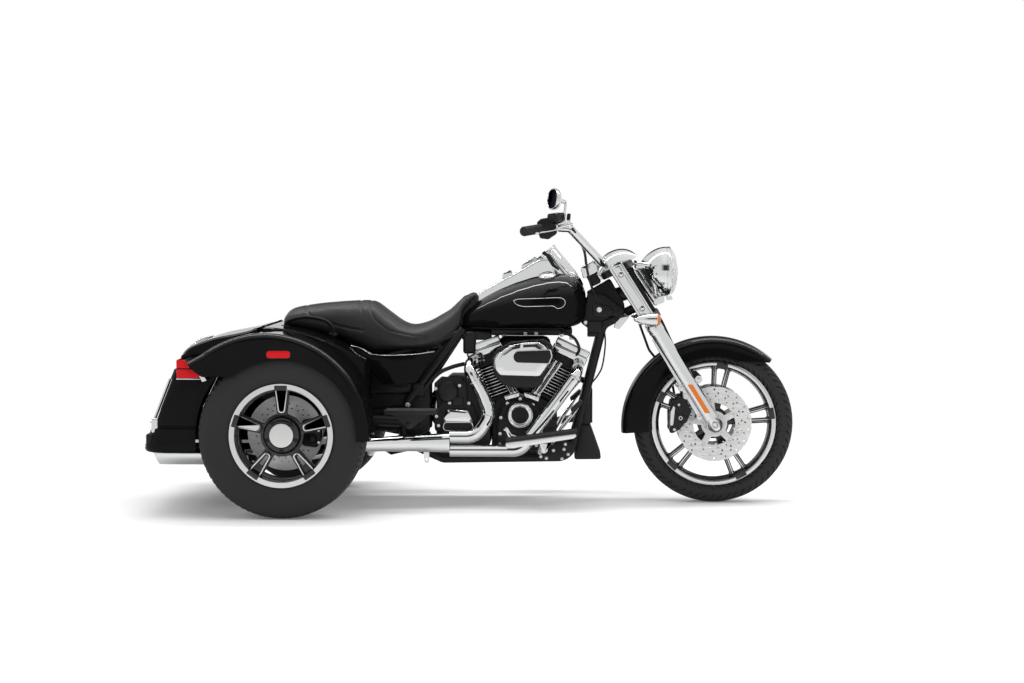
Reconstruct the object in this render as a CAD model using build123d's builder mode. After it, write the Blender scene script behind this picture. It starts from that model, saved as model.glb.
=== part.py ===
"""Motorized trike: a big cruiser with one steered wheel in front and two wheels behind.

+X is forward, +Y is the left side and +Z is up; the ground is Z = 0, and the origin is the
middle of the outline on the ground. All lengths are in millimetres and angles in degrees.
"""

import math
import os

from build123d import *

os.makedirs("parts", exist_ok=True)

# ---------------------------------------------------------------- driving dimensions

wheelbase = 1670
rear_overhang = 570  # rear axle to the plate bracket
rear_track = 1120

front_tyre_radius = 320
front_tyre_width = 132
front_sidewall = 70  # rim to tread
rear_tyre_radius = 318
rear_tyre_width = 206
rear_sidewall = 120

rake = 26  # lean of the steering axis
fork_splay = 6  # how much more the fork legs lean than the steering axis
axle_lead = 57.07  # steering axis to the front axle, at the axle's height
fork_half_spacing = 120
slider_radius = 30.5

engine_ahead_of_axle = 895  # rear axle to the middle of the engine
sheet = 6  # thickness of the body panels
tube_radius = 17  # frame tubes
backbone_radius = 30
muffler_radius = 43

running_gap = 0.1  # radial play of a shaft in its bore
seat_gap = 0.3  # play between pieces that only rest on each other
moving_gap = 5  # least space beside a piece that moves
tub_gap = 17  # rear tyre to the side of the trunk
fender_gap = 21  # rear tyre to the side of its fender

# ---------------------------------------------------------------- datums worked out from them

front_x = (wheelbase + rear_overhang + front_tyre_radius) / 2 - front_tyre_radius
rear_x = front_x - wheelbase
engine_x = rear_x + engine_ahead_of_axle
fork_lean = rake + fork_splay
trail = front_tyre_radius * math.tan(math.radians(rake)) - axle_lead
foot_x = front_x + trail  # where the steering axis meets the ground
front_rim_radius = front_tyre_radius - front_sidewall
rear_rim_radius = rear_tyre_radius - rear_sidewall
wheel_y = rear_track / 2
tub_half = wheel_y - rear_tyre_width / 2 - tub_gap  # half width of the trunk
body_half_width = wheel_y + rear_tyre_width / 2 + fender_gap + sheet

sin_rake = math.sin(math.radians(rake))
cos_rake = math.cos(math.radians(rake))
sin_fork = math.sin(math.radians(fork_lean))
cos_fork = math.cos(math.radians(fork_lean))


def steer(ahead, along, y=0):
    """A point given ahead of the steering axis and along it from the ground."""
    return (foot_x - along * sin_rake + ahead * cos_rake, y, along * cos_rake + ahead * sin_rake)


def fork(along, ahead=0, y=0):
    """A point given along the fork legs from the front axle, and ahead of them."""
    return (
        front_x - along * sin_fork + ahead * cos_fork,
        y,
        front_tyre_radius + along * cos_fork + ahead * sin_fork,
    )


steering_up = (-sin_rake, 0, cos_rake)
fork_up = (-sin_fork, 0, cos_fork)
steering_plane = Plane(origin=steer(0, 0), x_dir=(cos_rake, 0, sin_rake), z_dir=steering_up)
fork_plane = Plane(origin=fork(0), x_dir=(cos_fork, 0, sin_fork), z_dir=fork_up)


def tube(points, radius, bend=0, bore=0, mode=Mode.ADD):
    """Sweep a round tube along straight runs joined by arcs, in the part being made."""
    with BuildLine() as run:
        if bend:
            FilletPolyline(*points, radius=bend)
        else:
            Polyline(*points)
    with BuildSketch(Plane(run.line @ 0, z_dir=run.line % 0)) as ring:
        Circle(radius)
        if bore:
            Circle(bore, mode=Mode.SUBTRACT)
    sweep(sections=ring.sketch, path=run.line, mode=mode)


def slab(outline, y_low, y_high, mode=Mode.ADD):
    """A plate with a side-view outline of (x, z) corners, from y_low to y_high."""
    with BuildSketch(Plane.XZ.offset(-y_high)) as face:
        with BuildLine():
            Polyline(*outline, close=True)
        make_face()
    extrude(face.sketch, amount=y_high - y_low, mode=mode)


def block(low, high, mode=Mode.ADD):
    """A box from its low corner to its high corner."""
    sides = [b - a for a, b in zip(low, high)]
    middle = [(a + b) / 2 for a, b in zip(low, high)]
    with Locations(tuple(middle)):
        Box(*sides, mode=mode)


def rod(start, end, radius, mode=Mode.ADD):
    """A round bar from one point to another."""
    span = Vector(*end) - Vector(*start)
    with Locations(Plane(origin=start, z_dir=span)):
        Cylinder(radius, span.length, align=(Align.CENTER, Align.CENTER, Align.MIN), mode=mode)


pieces = {}

# ---------------------------------------------------------------- wheels

axle_radius = 12
hub_radius = 36
hub_half = 62
barrel_half = 42
barrel_wall = 8
flange_width = 8
flange_depth = 14
spoke_count = 5
spoke_half_depth = 15
front_spoke_angle = 81.7
rear_spoke_angle = 90
spindle_radius = 20
rear_hub_radius = 62
rear_barrel_half = 82
disc_thickness = 5
disc_y = 80
front_disc_radius = 150
disc_carrier_radius = 70
disc_hole_circle = 114
disc_hole_count = 18
disc_hole_radius = 9
rear_disc_radius = 145
rear_disc_thickness = 6

# Half of a tyre's section, as share of the half width and depth below the tread
tyre_side = [(0.0, 0), (0.5, 2), (0.86, 14), (0.97, 26), (1.0, 40), (0.95, 56)]


def wheel_section(x, y, z):
    """The plane of a wheel's section: across the wheel, and out from its axle."""
    return Plane(origin=(x, y, z), x_dir=(0, 1, 0), z_dir=(1, 0, 0))


def turned(section, outline):
    """Turn a section outline of (across, out) corners about the axle."""
    with BuildSketch(section) as profile:
        with BuildLine():
            Polyline(*outline, close=True)
        make_face()
    revolve(profile.sketch, axis=Axis(section.origin, (0, 1, 0)))


def tyre_outline(radius, width, rim, half):
    """Corners of a tyre that seats on a rim barrel."""
    seat = rim - flange_depth + seat_gap
    left = [(width / 2 * share, radius - drop) for share, drop in tyre_side]
    left += [(half - seat_gap, rim + 1), (half - seat_gap, seat)]
    right = [(-across, out) for across, out in left[1:]]
    return left + right[::-1]


def rim_outline(rim, half):
    """Corners of a rim barrel with a flange on each side."""
    barrel = rim - flange_depth
    edge = half + flange_width
    return [
        (-edge, barrel - barrel_wall),
        (edge, barrel - barrel_wall),
        (edge, rim),
        (half, rim),
        (half, barrel),
        (-half, barrel),
        (-half, rim),
        (-edge, rim),
    ]


def spokes(middle, first, outline, half_depth):
    """Plates with outlines of (out, aside) corners, repeated round the axle on both sides of a radius."""
    for turn in range(spoke_count):
        angle = math.radians(first + turn * 360 / spoke_count)
        radius_way = (math.cos(angle), 0, math.sin(angle))
        for side in (-1, 1):
            with BuildSketch(Plane(origin=middle.origin, x_dir=radius_way, z_dir=middle.z_dir)) as arm:
                with BuildLine():
                    Polyline(*[(out, side * aside) for out, aside in outline], close=True)
                make_face()
            extrude(arm.sketch, amount=half_depth, both=True)


front_section = wheel_section(front_x, 0, front_tyre_radius)
front_middle = Plane(origin=front_section.origin, x_dir=(1, 0, 0), z_dir=(0, 1, 0))
front_barrel = front_rim_radius - flange_depth - barrel_wall

with BuildPart() as front_tyre:
    turned(
        front_section,
        tyre_outline(front_tyre_radius, front_tyre_width, front_rim_radius, barrel_half),
    )
pieces["front_tyre"] = front_tyre

with BuildPart() as front_rim:
    turned(front_section, rim_outline(front_rim_radius, barrel_half))
    with Locations(front_middle):
        Cylinder(hub_radius, 2 * hub_half)
    spokes(
        front_middle,
        front_spoke_angle,
        [(hub_radius - 6, 5), (hub_radius - 6, 22), (front_barrel + 3, 38), (front_barrel + 3, 20)],
        spoke_half_depth,
    )
    for side in (-1, 1):
        carrier_depth = disc_y + disc_thickness / 2 - hub_half
        with Locations(front_middle.offset(side * (hub_half + carrier_depth / 2))):
            Cylinder(disc_carrier_radius, carrier_depth)
        with Locations(front_middle.offset(side * disc_y)):
            Cylinder(front_disc_radius, disc_thickness)
            with PolarLocations(disc_hole_circle, disc_hole_count):
                Cylinder(disc_hole_radius, disc_thickness, mode=Mode.SUBTRACT)
    with Locations(front_middle):
        Cylinder(axle_radius + running_gap, 4 * disc_y, mode=Mode.SUBTRACT)
pieces["front_rim"] = front_rim

rear_barrel = rear_rim_radius - flange_depth - barrel_wall
hub_inner = 60  # hub ends, in and out from the middle of the wheel
hub_outer = 70
spindle_tip = 52  # how far the spindle reaches past the middle of the wheel
for name, side in (("right", -1), ("left", 1)):
    section = wheel_section(rear_x, side * wheel_y, rear_tyre_radius)
    middle = Plane(origin=section.origin, x_dir=(1, 0, 0), z_dir=(0, 1, 0))
    with BuildPart() as rear_tyre:
        turned(
            section,
            tyre_outline(rear_tyre_radius, rear_tyre_width, rear_rim_radius, rear_barrel_half),
        )
    pieces[f"rear_tyre_{name}"] = rear_tyre

    with BuildPart() as rear_wheel:
        turned(section, rim_outline(rear_rim_radius, rear_barrel_half))
        face = middle.offset(side * 45)
        with Locations(middle.offset(side * (hub_outer - hub_inner) / 2)):
            Cylinder(rear_hub_radius, hub_inner + hub_outer)
        with Locations(middle.offset(-side * (hub_inner + rear_disc_thickness / 2))):
            Cylinder(rear_disc_radius, rear_disc_thickness)
        with Locations(middle.offset(side * 22)):
            Cylinder(rear_barrel + 3, 8)
        spokes(
            face,
            rear_spoke_angle,
            [
                (rear_hub_radius - 6, 8),
                (rear_hub_radius - 6, 26),
                (rear_barrel + 3, 40),
                (rear_barrel + 3, 20),
            ],
            18,
        )
        bore_start = hub_inner + rear_disc_thickness + 1
        bore_depth = bore_start + spindle_tip + moving_gap
        with Locations(middle.offset(side * (bore_depth / 2 - bore_start))):
            Cylinder(spindle_radius + running_gap, bore_depth, mode=Mode.SUBTRACT)
    pieces[f"rear_wheel_{name}"] = rear_wheel

# ---------------------------------------------------------------- fork and steering

tube_foot = 250  # fork tubes: where they start along the legs from the axle
slider_foot = -34
slider_head = 470
fork_tube_radius = 24.5
tree_half = 15
lower_tree = 829  # the two trees, along the steering axis
upper_tree = 1057
# The same two places along the legs
lower_seat = (lower_tree * cos_rake - front_tyre_radius) / cos_fork
tube_head = (upper_tree * cos_rake - front_tyre_radius) / cos_fork
neck_foot = lower_tree + tree_half + moving_gap
neck_head = upper_tree - tree_half - moving_gap
stem_radius = 14
neck_radius = 34

with BuildPart() as front_axle:
    with Locations(front_middle):
        Cylinder(axle_radius, 2 * fork_half_spacing + 2 * slider_radius + 6)
pieces["front_axle"] = front_axle

with BuildPart() as fork_legs:
    for side in (-1, 1):
        aside = side * fork_half_spacing
        rod(fork(slider_foot, 0, aside), fork(slider_head, 0, aside), slider_radius)
        rod(
            fork(tube_foot - 10, 0, aside),
            fork(slider_head + 1, 0, aside),
            fork_tube_radius + seat_gap,
            Mode.SUBTRACT,
        )
        inner = side * (disc_y + disc_thickness / 2 + moving_gap + 1)
        rod((front_x, inner, front_tyre_radius), (front_x, aside, front_tyre_radius), 24)
    with Locations(front_middle):
        Cylinder(axle_radius + seat_gap, 400, mode=Mode.SUBTRACT)
    for side in (-1, 1):
        aside = side * fork_half_spacing
        rod(fork(tube_foot, 0, aside), fork(tube_head, 0, aside), fork_tube_radius)
pieces["fork_legs"] = fork_legs

shroud_foot = front_tyre_radius + 60
shroud_head = lower_seat + 55
with BuildPart() as fork_shroud:
    with BuildSketch(fork_plane.offset(shroud_foot)) as foot_face:
        with Locations((44, 0)):
            Rectangle(18, 150)
    with BuildSketch(fork_plane.offset(shroud_head)) as head_face:
        with Locations((65, 0)):
            Rectangle(18, 150)
    loft(sections=[foot_face.sketch, head_face.sketch])
pieces["fork_shroud"] = fork_shroud

tree_front = 42
riser_ahead = -67  # the handlebar's middle, ahead of and along the steering axis
riser_along = 1097
bar_radius = 16
clamp_y = 48
with BuildPart() as triple_tree:
    tree_width = 2 * (fork_half_spacing + 33)
    for along, back, front in ((lower_tree, -45, tree_front + 10), (upper_tree, -96, tree_front)):
        with Locations(steering_plane.offset(along)):
            with Locations(((back + front) / 2, 0, 0)):
                Box(front - back, tree_width, 2 * tree_half)
    rod(steer(0, lower_tree), steer(0, upper_tree), stem_radius)
    for side in (-1, 1):
        rod(
            fork(tube_foot, 0, side * fork_half_spacing),
            fork(tube_head + 30, 0, side * fork_half_spacing),
            fork_tube_radius + seat_gap,
            Mode.SUBTRACT,
        )
        with Locations(steering_plane):
            with Locations((riser_ahead, side * clamp_y, (upper_tree + riser_along + 24) / 2)):
                Box(50, 30, riser_along + 24 - upper_tree)
    rod(
        steer(riser_ahead, riser_along, -2 * clamp_y),
        steer(riser_ahead, riser_along, 2 * clamp_y),
        bar_radius + seat_gap,
        Mode.SUBTRACT,
    )
    add(fork_shroud.part, mode=Mode.SUBTRACT)
pieces["triple_tree"] = triple_tree

# Long side covers over the fork legs, from above the slider to the upper tree
cover_foot = lower_seat - 15
cover_head = tube_head + 9
cover_back = -29
cover_front = 22
cover_face = fork_half_spacing + 33
with BuildPart() as fork_covers:
    for side in (-1, 1):
        with Locations(fork_plane):
            with Locations(
                (
                    (cover_back + cover_front) / 2,
                    side * (cover_face + 7),
                    (cover_foot + cover_head) / 2,
                )
            ):
                Box(cover_front - cover_back, 14, cover_head - cover_foot)
    for side in (-1, 1):
        for bolt in (cover_foot + 54, cover_head - 47):
            rod(
                fork(bolt, -3, side * (cover_face + 13)),
                fork(bolt, -3, side * (cover_face + 17)),
                12,
            )
pieces["fork_covers"] = fork_covers

# ---------------------------------------------------------------- handlebar and its fittings

bar_middle = steer(riser_ahead, riser_along)
bar_x = bar_middle[0]
bar_z = bar_middle[2]
# Half of the bar's line, as back from its middle, out to the side and up
bar_line = [(0, 100, 0), (136, 228, 143), (216, 286, 149), (311, 440, 133)]
grip_length = 125
with BuildPart() as handlebar:
    half = [(bar_x - back, out, bar_z + up) for back, out, up in bar_line]
    other = [(x, -y, z) for x, y, z in half]
    tube(other[::-1] + half, bar_radius, bend=[70, 40, 45, 45, 40, 70])
pieces["handlebar"] = handlebar

grip_radius = 19
end_x, end_y, end_z = (bar_x - bar_line[3][0], bar_line[3][1], bar_z + bar_line[3][2])
bend_x, bend_y, bend_z = (bar_x - bar_line[2][0], bar_line[2][1], bar_z + bar_line[2][2])
grip_run = Vector(end_x - bend_x, end_y - bend_y, end_z - bend_z)
grip_way = grip_run.normalized()
with BuildPart() as hand_grips:
    for side in (-1, 1):
        tip = Vector(end_x, side * end_y, end_z)
        way = Vector(grip_way.X, side * grip_way.Y, grip_way.Z)
        root = tip - way * grip_length
        cap = tip + way * 8
        rod(tuple(root), tuple(cap), grip_radius)
        rod(tuple(root - way), tuple(tip), bar_radius + seat_gap, Mode.SUBTRACT)
pieces["hand_grips"] = hand_grips

lever_gap = 46
with BuildPart() as hand_controls:
    for side in (-1, 1):
        tip = Vector(end_x, side * end_y, end_z)
        way = Vector(grip_way.X, side * grip_way.Y, grip_way.Z)
        housing_end = tip - way * (grip_length + 1)
        housing = housing_end - way * 40
        rod(tuple(housing), tuple(housing_end), 25)
        forward = Vector(0, 0, 1).cross(way).normalized() * (-side)
        pivot = housing + forward * lever_gap + way * 10
        rod(tuple(housing + way * 10), tuple(pivot), 9)
        block(
            (pivot.X - 30, pivot.Y - 24, pivot.Z + 4),
            (pivot.X + 30, pivot.Y + 24, pivot.Z + 34),
        )
        rod(tuple(pivot), tuple(pivot + way * 150 + forward * 14), 7)
        rod(
            tuple(housing - way * 2),
            tuple(housing_end + way * 2),
            bar_radius + seat_gap,
            Mode.SUBTRACT,
        )
pieces["hand_controls"] = hand_controls

mirror_x = bar_x - 196
mirror_y = 400
mirror_z = bar_z + 256
with BuildPart() as mirrors:
    for side in (-1, 1):
        with Locations(Plane(origin=(mirror_x, side * mirror_y, mirror_z), z_dir=(1, side * 0.25, 0))):
            Cylinder(44, 30)
        tube(
            [
                (mirror_x, side * (mirror_y - 40), mirror_z),
                (bar_x - 152, side * 316, mirror_z - 8),
                (bar_x - 162, side * 316, bar_z + 165),
            ],
            6,
            bend=10,
        )
    add(hand_controls.part, mode=Mode.SUBTRACT)
pieces["mirrors"] = mirrors

# ---------------------------------------------------------------- headlamp and its carrier

lamp_x, _, lamp_z = steer(145.7, 958.1)
lamp_radius = 102
bowl_radius = 100  # the bowl is half a sphere
lens_radius = 142
lens_swell = 34
rim_front = lamp_x + 14
bowl_x = lamp_x - 1  # open edge of the bowl
lens_middle = rim_front + lens_swell - lens_radius
lamp_axis = Axis((bowl_x, 0, lamp_z), (1, 0, 0))
bowl_slant = bowl_radius * math.sqrt(0.5)
with BuildPart() as headlamp:
    with BuildSketch(Plane.XZ) as bowl:
        with BuildLine():
            Line((bowl_x - bowl_radius, lamp_z), (rim_front, lamp_z))
            Line((rim_front, lamp_z), (rim_front, lamp_z + lamp_radius))
            Line((rim_front, lamp_z + lamp_radius), (bowl_x, lamp_z + lamp_radius))
            Line((bowl_x, lamp_z + lamp_radius), (bowl_x, lamp_z + bowl_radius))
            ThreePointArc(
                (bowl_x, lamp_z + bowl_radius),
                (bowl_x - bowl_slant, lamp_z + bowl_slant),
                (bowl_x - bowl_radius, lamp_z),
            )
        make_face()
    revolve(bowl.sketch, axis=lamp_axis)
pieces["headlamp"] = headlamp

lens_edge = math.sqrt(lens_radius**2 - (lens_radius - lens_swell) ** 2)
lens_half_angle = math.asin(lens_edge / lens_radius) / 2
with BuildPart() as headlamp_lens:
    with BuildSketch(Plane.XZ) as cap:
        with BuildLine():
            Line((rim_front, lamp_z), (rim_front + lens_swell, lamp_z))
            ThreePointArc(
                (rim_front + lens_swell, lamp_z),
                (
                    lens_middle + lens_radius * math.cos(lens_half_angle),
                    lamp_z + lens_radius * math.sin(lens_half_angle),
                ),
                (rim_front, lamp_z + lens_edge),
            )
            Line((rim_front, lamp_z + lens_edge), (rim_front, lamp_z))
        make_face()
    revolve(cap.sketch, axis=lamp_axis)
pieces["headlamp_lens"] = headlamp_lens

nacelle_foot = 930
nacelle_head = 1038
with BuildPart() as headlamp_nacelle:
    # A plate ahead of the trees, lugs back to the upper tree and an arm forward to the bowl
    with Locations(steering_plane):
        with Locations((66, 0, (nacelle_foot + nacelle_head) / 2)):
            Box(14, 170, nacelle_head - nacelle_foot)
        for side in (-1, 1):
            with Locations((tree_front + 9, side * 62, upper_tree - 35)):
                Box(18, 24, 2 * tree_half + 70)
    rod(steer(72, 985), (lamp_x - 40, 0, lamp_z), 34)
    with Locations((bowl_x, 0, lamp_z)):
        Sphere(bowl_radius + seat_gap, mode=Mode.SUBTRACT)
pieces["headlamp_nacelle"] = headlamp_nacelle

signal_x, _, signal_z = steer(27.3, 811.1)  # face of the lens
signal_y = 200
signal_radius = 27
with BuildPart() as front_signals:
    for side in (-1, 1):
        aside = side * signal_y
        with BuildSketch(Plane.XZ.offset(-aside)) as bullet:
            with BuildLine():
                Line((signal_x, signal_z), (signal_x - 96, signal_z))
                ThreePointArc(
                    (signal_x - 96, signal_z),
                    (signal_x - 60, signal_z + 20),
                    (signal_x - 8, signal_z + signal_radius),
                )
                Line((signal_x - 8, signal_z + signal_radius), (signal_x, signal_z + signal_radius - 4))
                Line((signal_x, signal_z + signal_radius - 4), (signal_x, signal_z))
            make_face()
        revolve(bullet.sketch, axis=Axis((signal_x, aside, signal_z), (1, 0, 0)))
        rod((signal_x - 62, side * (cover_face + 14), signal_z), (signal_x - 62, aside, signal_z), 9)
pieces["front_signals"] = front_signals

# ---------------------------------------------------------------- front fender and brakes

fender_radius = front_tyre_radius + 40
fender_x = front_x - 5.6
fender_z = front_tyre_radius - 15
fender_half = 80
fender_sheet = 4
fender_front = 49  # angles about the front axle
fender_rear = 184
skirt_radius = front_rim_radius + 12
fender_round = 24  # rounding between the crown and the skirts
with BuildPart() as front_fender:
    start = math.radians(fender_front)
    outward = Vector(math.cos(start), 0, math.sin(start))
    begin = Plane(
        origin=(fender_x, 0, fender_z),
        x_dir=(0, 1, 0),
        z_dir=Vector(0, 1, 0).cross(outward),
    )
    with BuildSketch(begin) as skin:
        for inset, way in ((0, Mode.ADD), (fender_sheet, Mode.SUBTRACT)):
            width = fender_half - inset
            crown = fender_radius - inset
            corner = fender_round - inset
            shoulder = corner * (1 - math.sqrt(0.5))
            with BuildLine():
                Line((-width, skirt_radius - 62), (-width, crown - corner))
                ThreePointArc(
                    (-width, crown - corner),
                    (-width + shoulder, crown - shoulder),
                    (-width + corner, crown),
                )
                Line((-width + corner, crown), (width - corner, crown))
                ThreePointArc(
                    (width - corner, crown),
                    (width - shoulder, crown - shoulder),
                    (width, crown - corner),
                )
                Line((width, crown - corner), (width, skirt_radius - 62))
                Line((width, skirt_radius - 62), (-width, skirt_radius - 62))
            make_face(mode=way)
    revolve(
        skin.sketch,
        axis=Axis((fender_x, 0, fender_z), (0, -1, 0)),
        revolution_arc=fender_rear - fender_front,
    )
    with Locations(front_middle):
        Cylinder(skirt_radius, 2 * fender_half + 2, mode=Mode.SUBTRACT)
    for side in (-1, 1):
        for along in (skirt_radius + 14, front_tyre_radius + 2):
            rod(
                fork(along, 0, side * (fender_half - 2)),
                fork(along, 0, side * (fork_half_spacing - slider_radius + 3)),
                8,
            )
        rod(
            fork(slider_head - 40, 0, side * fork_half_spacing),
            fork(200, 0, side * fork_half_spacing),
            slider_radius + seat_gap,
            Mode.SUBTRACT,
        )
pieces["front_fender"] = front_fender

caliper_x = front_x - 130
caliper_z = front_tyre_radius + 36
with BuildPart() as front_calipers:
    for side in (-1, 1):
        disc_middle = side * disc_y
        slab(
            [
                (caliper_x - 34, caliper_z - 42),
                (caliper_x + 22, caliper_z - 62),
                (caliper_x + 38, caliper_z - 20),
                (caliper_x + 16, caliper_z + 66),
                (caliper_x - 40, caliper_z + 68),
            ],
            disc_middle - 33 + 7 * side,
            disc_middle + 33 + 7 * side,
        )
        with Locations(front_middle.offset(disc_middle)):
            Cylinder(front_disc_radius + 6, disc_thickness + 4, mode=Mode.SUBTRACT)
        lug = side * (fork_half_spacing - 8)
        for up in (-26, 44):
            rod((caliper_x + 10, lug, caliper_z + up), (front_x - 14, lug, caliper_z + up), 12)
    add(fork_legs.part, mode=Mode.SUBTRACT)
pieces["front_calipers"] = front_calipers

# ---------------------------------------------------------------- frame

tank_to_neck = 198.6
tank_front = steer(0, (neck_foot + neck_head) / 2)[0] - tank_to_neck
tank_rear = engine_x - 234
backbone_head = (tank_front - 67, 0, 770)
backbone_foot = (engine_x - 245, 0, 690)
rail_z = 190
rail_y = 128
rail_rear_y = 150
rear_knee_x = engine_x - 446
pivot_x = engine_x - 475  # where the trailing arms of the axle pivot
pivot_z = 335
rail_radius = 14
tunnel_half = 44  # the space under the tank that the backbone runs through
tank_mounts = [(tank_rear + 84, 708), (tank_front - 132, 756)]


def rail_start(side):
    """Where a seat rail leaves the top of the rear downtube."""
    return (engine_x - 228, side * 100, 690)


def rail_end(side):
    """Where a seat rail ends, under the front of the body."""
    return (rear_x + 225, side * 148, 541)


with BuildPart() as frame:
    rod(steer(0, neck_foot), steer(0, neck_head), neck_radius)
    tube([steer(0, 950), backbone_head, backbone_foot], backbone_radius, bend=120)
    for side in (-1, 1):
        tube(
            [
                steer(0, 885, side * 12),
                (engine_x + 330, side * 70, 714),
                (engine_x + 233, side * 95, 330),
                (engine_x + 196, side * rail_y, rail_z),
                (engine_x - 305, side * rail_rear_y, rail_z - 5),
                (pivot_x, side * rail_rear_y, 260),
                (rear_knee_x, side * 140, 415),
                (engine_x - 228, side * 104, 700),
            ],
            tube_radius,
            bend=[40, 150, 60, 40, 60, 40],
        )
        rod(rail_start(side), rail_end(side), rail_radius)
    for x, y, z in (
        (engine_x - 228, 104, 682),
        (engine_x + 215, 112, 250),
        (pivot_x, rail_rear_y, 262),
        (rear_knee_x, 140, 415),
    ):
        rod((x, -y, z), (x, y, z), 15)
    shock_bar_x, _, shock_bar_z = rail_end(1)
    rod((shock_bar_x, -214, shock_bar_z), (shock_bar_x, 214, shock_bar_z), rail_radius)
    for x, z in tank_mounts:
        rod((x, seat_gap - tunnel_half, z), (x, tunnel_half - seat_gap, z), 12)
    rod(steer(0, neck_foot - 1), steer(0, neck_head + 1), stem_radius + seat_gap, Mode.SUBTRACT)
pieces["frame"] = frame

# ---------------------------------------------------------------- engine

crank_x = engine_x + 15
crank_z = 245
case_half = 100
primary_face = 130
case_rear = crank_x - 130
case_front = crank_x + 130
barrel_foot = 194  # distances from the crank, up each cylinder
barrel_head = 372
head_top = 396
cover_top = 440
cylinder_tilts = [-20, 26]  # rear and front
fin_count = 9
fin_half = 60
fin_half_y = 76
cylinder_planes = [
    Plane(
        origin=(crank_x, 0, crank_z),
        x_dir=(math.cos(math.radians(tilt)), 0, -math.sin(math.radians(tilt))),
        z_dir=(math.sin(math.radians(tilt)), 0, math.cos(math.radians(tilt))),
    )
    for tilt in cylinder_tilts
]
cam_x = engine_x
cam_z = 357.6
cam_face = case_half + 46
decks = [
    upright.from_local_coords((across, 0, barrel_foot))
    for upright in cylinder_planes
    for across in (-fin_half - 4, fin_half + 4)
]
with BuildPart() as crankcase:
    slab(
        [
            (case_rear, 212),
            (case_front - 30, 212),
            (case_front, 245),
            (case_front + 4, 350),
        ]
        + [(corner.X, corner.Z) for corner in reversed(decks)]
        + [(case_rear, 360)],
        -case_half,
        primary_face,
    )
    slab(
        [
            (cam_x - 92, 226),
            (cam_x + 60, 226),
            (cam_x + 96, 270),
            (cam_x + 96, 330),
            (cam_x + 60, 404),
            (cam_x - 50, 404),
            (cam_x - 92, 330),
        ],
        -case_half - 30,
        -case_half,
    )
    rod((cam_x, -case_half - 30, cam_z), (cam_x, -cam_face, cam_z), 62)
pieces["crankcase"] = crankcase

with BuildPart() as cylinders:
    for upright in cylinder_planes:
        with Locations(upright.offset(barrel_foot)):
            Cylinder(50, barrel_head - barrel_foot, align=(Align.CENTER, Align.CENTER, Align.MIN))
        pitch = (barrel_head - barrel_foot - 30) / fin_count
        for fin in range(fin_count):
            with Locations(upright.offset(barrel_foot + 22 + fin * pitch)):
                Box(2 * fin_half, 2 * fin_half_y, 7, align=(Align.CENTER, Align.CENTER, Align.MIN))
        with Locations(upright.offset(barrel_head - 14)):
            Box(
                2 * fin_half - 6,
                2 * fin_half_y + 48,
                head_top - barrel_head + 14,
                align=(Align.CENTER, Align.CENTER, Align.MIN),
            )
pieces["cylinders"] = cylinders

with BuildPart() as rocker_covers:
    for upright in cylinder_planes:
        with BuildSketch(upright.offset(head_top + seat_gap)) as low:
            Rectangle(2 * fin_half - 16, 2 * fin_half_y + 44)
        with BuildSketch(upright.offset(cover_top)) as high:
            Rectangle(2 * fin_half - 34, 2 * fin_half_y + 20)
        loft(sections=[low.sketch, high.sketch])
pieces["rocker_covers"] = rocker_covers

pushrod_y = fin_half_y + 14
with BuildPart() as pushrod_tubes:
    for upright, lean in zip(cylinder_planes, (1, -1)):
        for aside in (14, 40):
            foot = upright.from_local_coords((lean * (aside - 18), -pushrod_y, 196))
            head = upright.from_local_coords((lean * aside, -pushrod_y, barrel_head - 14))
            rod(tuple(foot), tuple(head), 8)
    add(cylinders.part, mode=Mode.SUBTRACT)
    add(crankcase.part, mode=Mode.SUBTRACT)
pieces["pushrod_tubes"] = pushrod_tubes

cleaner_x = engine_x + 6
cleaner_z = 587
with BuildPart() as air_cleaner:
    slab(
        [
            (cleaner_x - 112, cleaner_z + 38),
            (cleaner_x - 60, cleaner_z + 66),
            (cleaner_x + 10, cleaner_z + 72),
            (cleaner_x + 78, cleaner_z + 72),
            (cleaner_x + 112, cleaner_z + 36),
            (cleaner_x + 96, cleaner_z - 22),
            (cleaner_x + 62, cleaner_z - 74),
            (cleaner_x - 88, cleaner_z - 74),
            (cleaner_x - 116, cleaner_z - 32),
        ],
        -286,
        -150,
    )
    fillet(air_cleaner.faces().sort_by(Axis.Y)[0].edges(), 12)
    # The intake runs in from the filter and branches to both heads
    intake = (cleaner_x + 16, cleaner_z - 42)
    rod((intake[0], 0, intake[1]), (intake[0], -151, intake[1]), 26)
    rod((intake[0] - 100, 0, intake[1]), (intake[0] + 100, 0, intake[1]), 20)
    add(cylinders.part, mode=Mode.SUBTRACT)
pieces["air_cleaner"] = air_cleaner

gearbox_half = 130
gearbox_rear = engine_x - 335
with BuildPart() as transmission:
    slab(
        [
            (gearbox_rear, 232),
            (case_rear, 232),
            (case_rear, 360),
            (case_rear - 44, 430),
            (case_rear - 76, 515),
            (gearbox_rear + 50, 515),
            (gearbox_rear, 470),
        ],
        -gearbox_half,
        gearbox_half,
    )
    with Locations((case_rear - 90, -gearbox_half - 20, 320)):
        Box(120, 40, 80)
pieces["transmission"] = transmission

primary_rear = engine_x - 275
with BuildPart() as primary_cover:
    with BuildSketch(Plane.XZ.offset(-primary_face - 66)) as stadium:
        with BuildLine():
            Line((primary_rear, 475), (cam_x, 475))
            ThreePointArc((cam_x, 475), (cam_x + 117, 358), (cam_x, 241))
            Line((cam_x, 241), (primary_rear, 265))
            ThreePointArc((primary_rear, 265), (primary_rear - 105, 370), (primary_rear, 475))
        make_face()
    extrude(stadium.sketch, amount=66)
    fillet(primary_cover.faces().sort_by(Axis.Y)[-1].edges(), 14)
pieces["primary_cover"] = primary_cover

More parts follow.
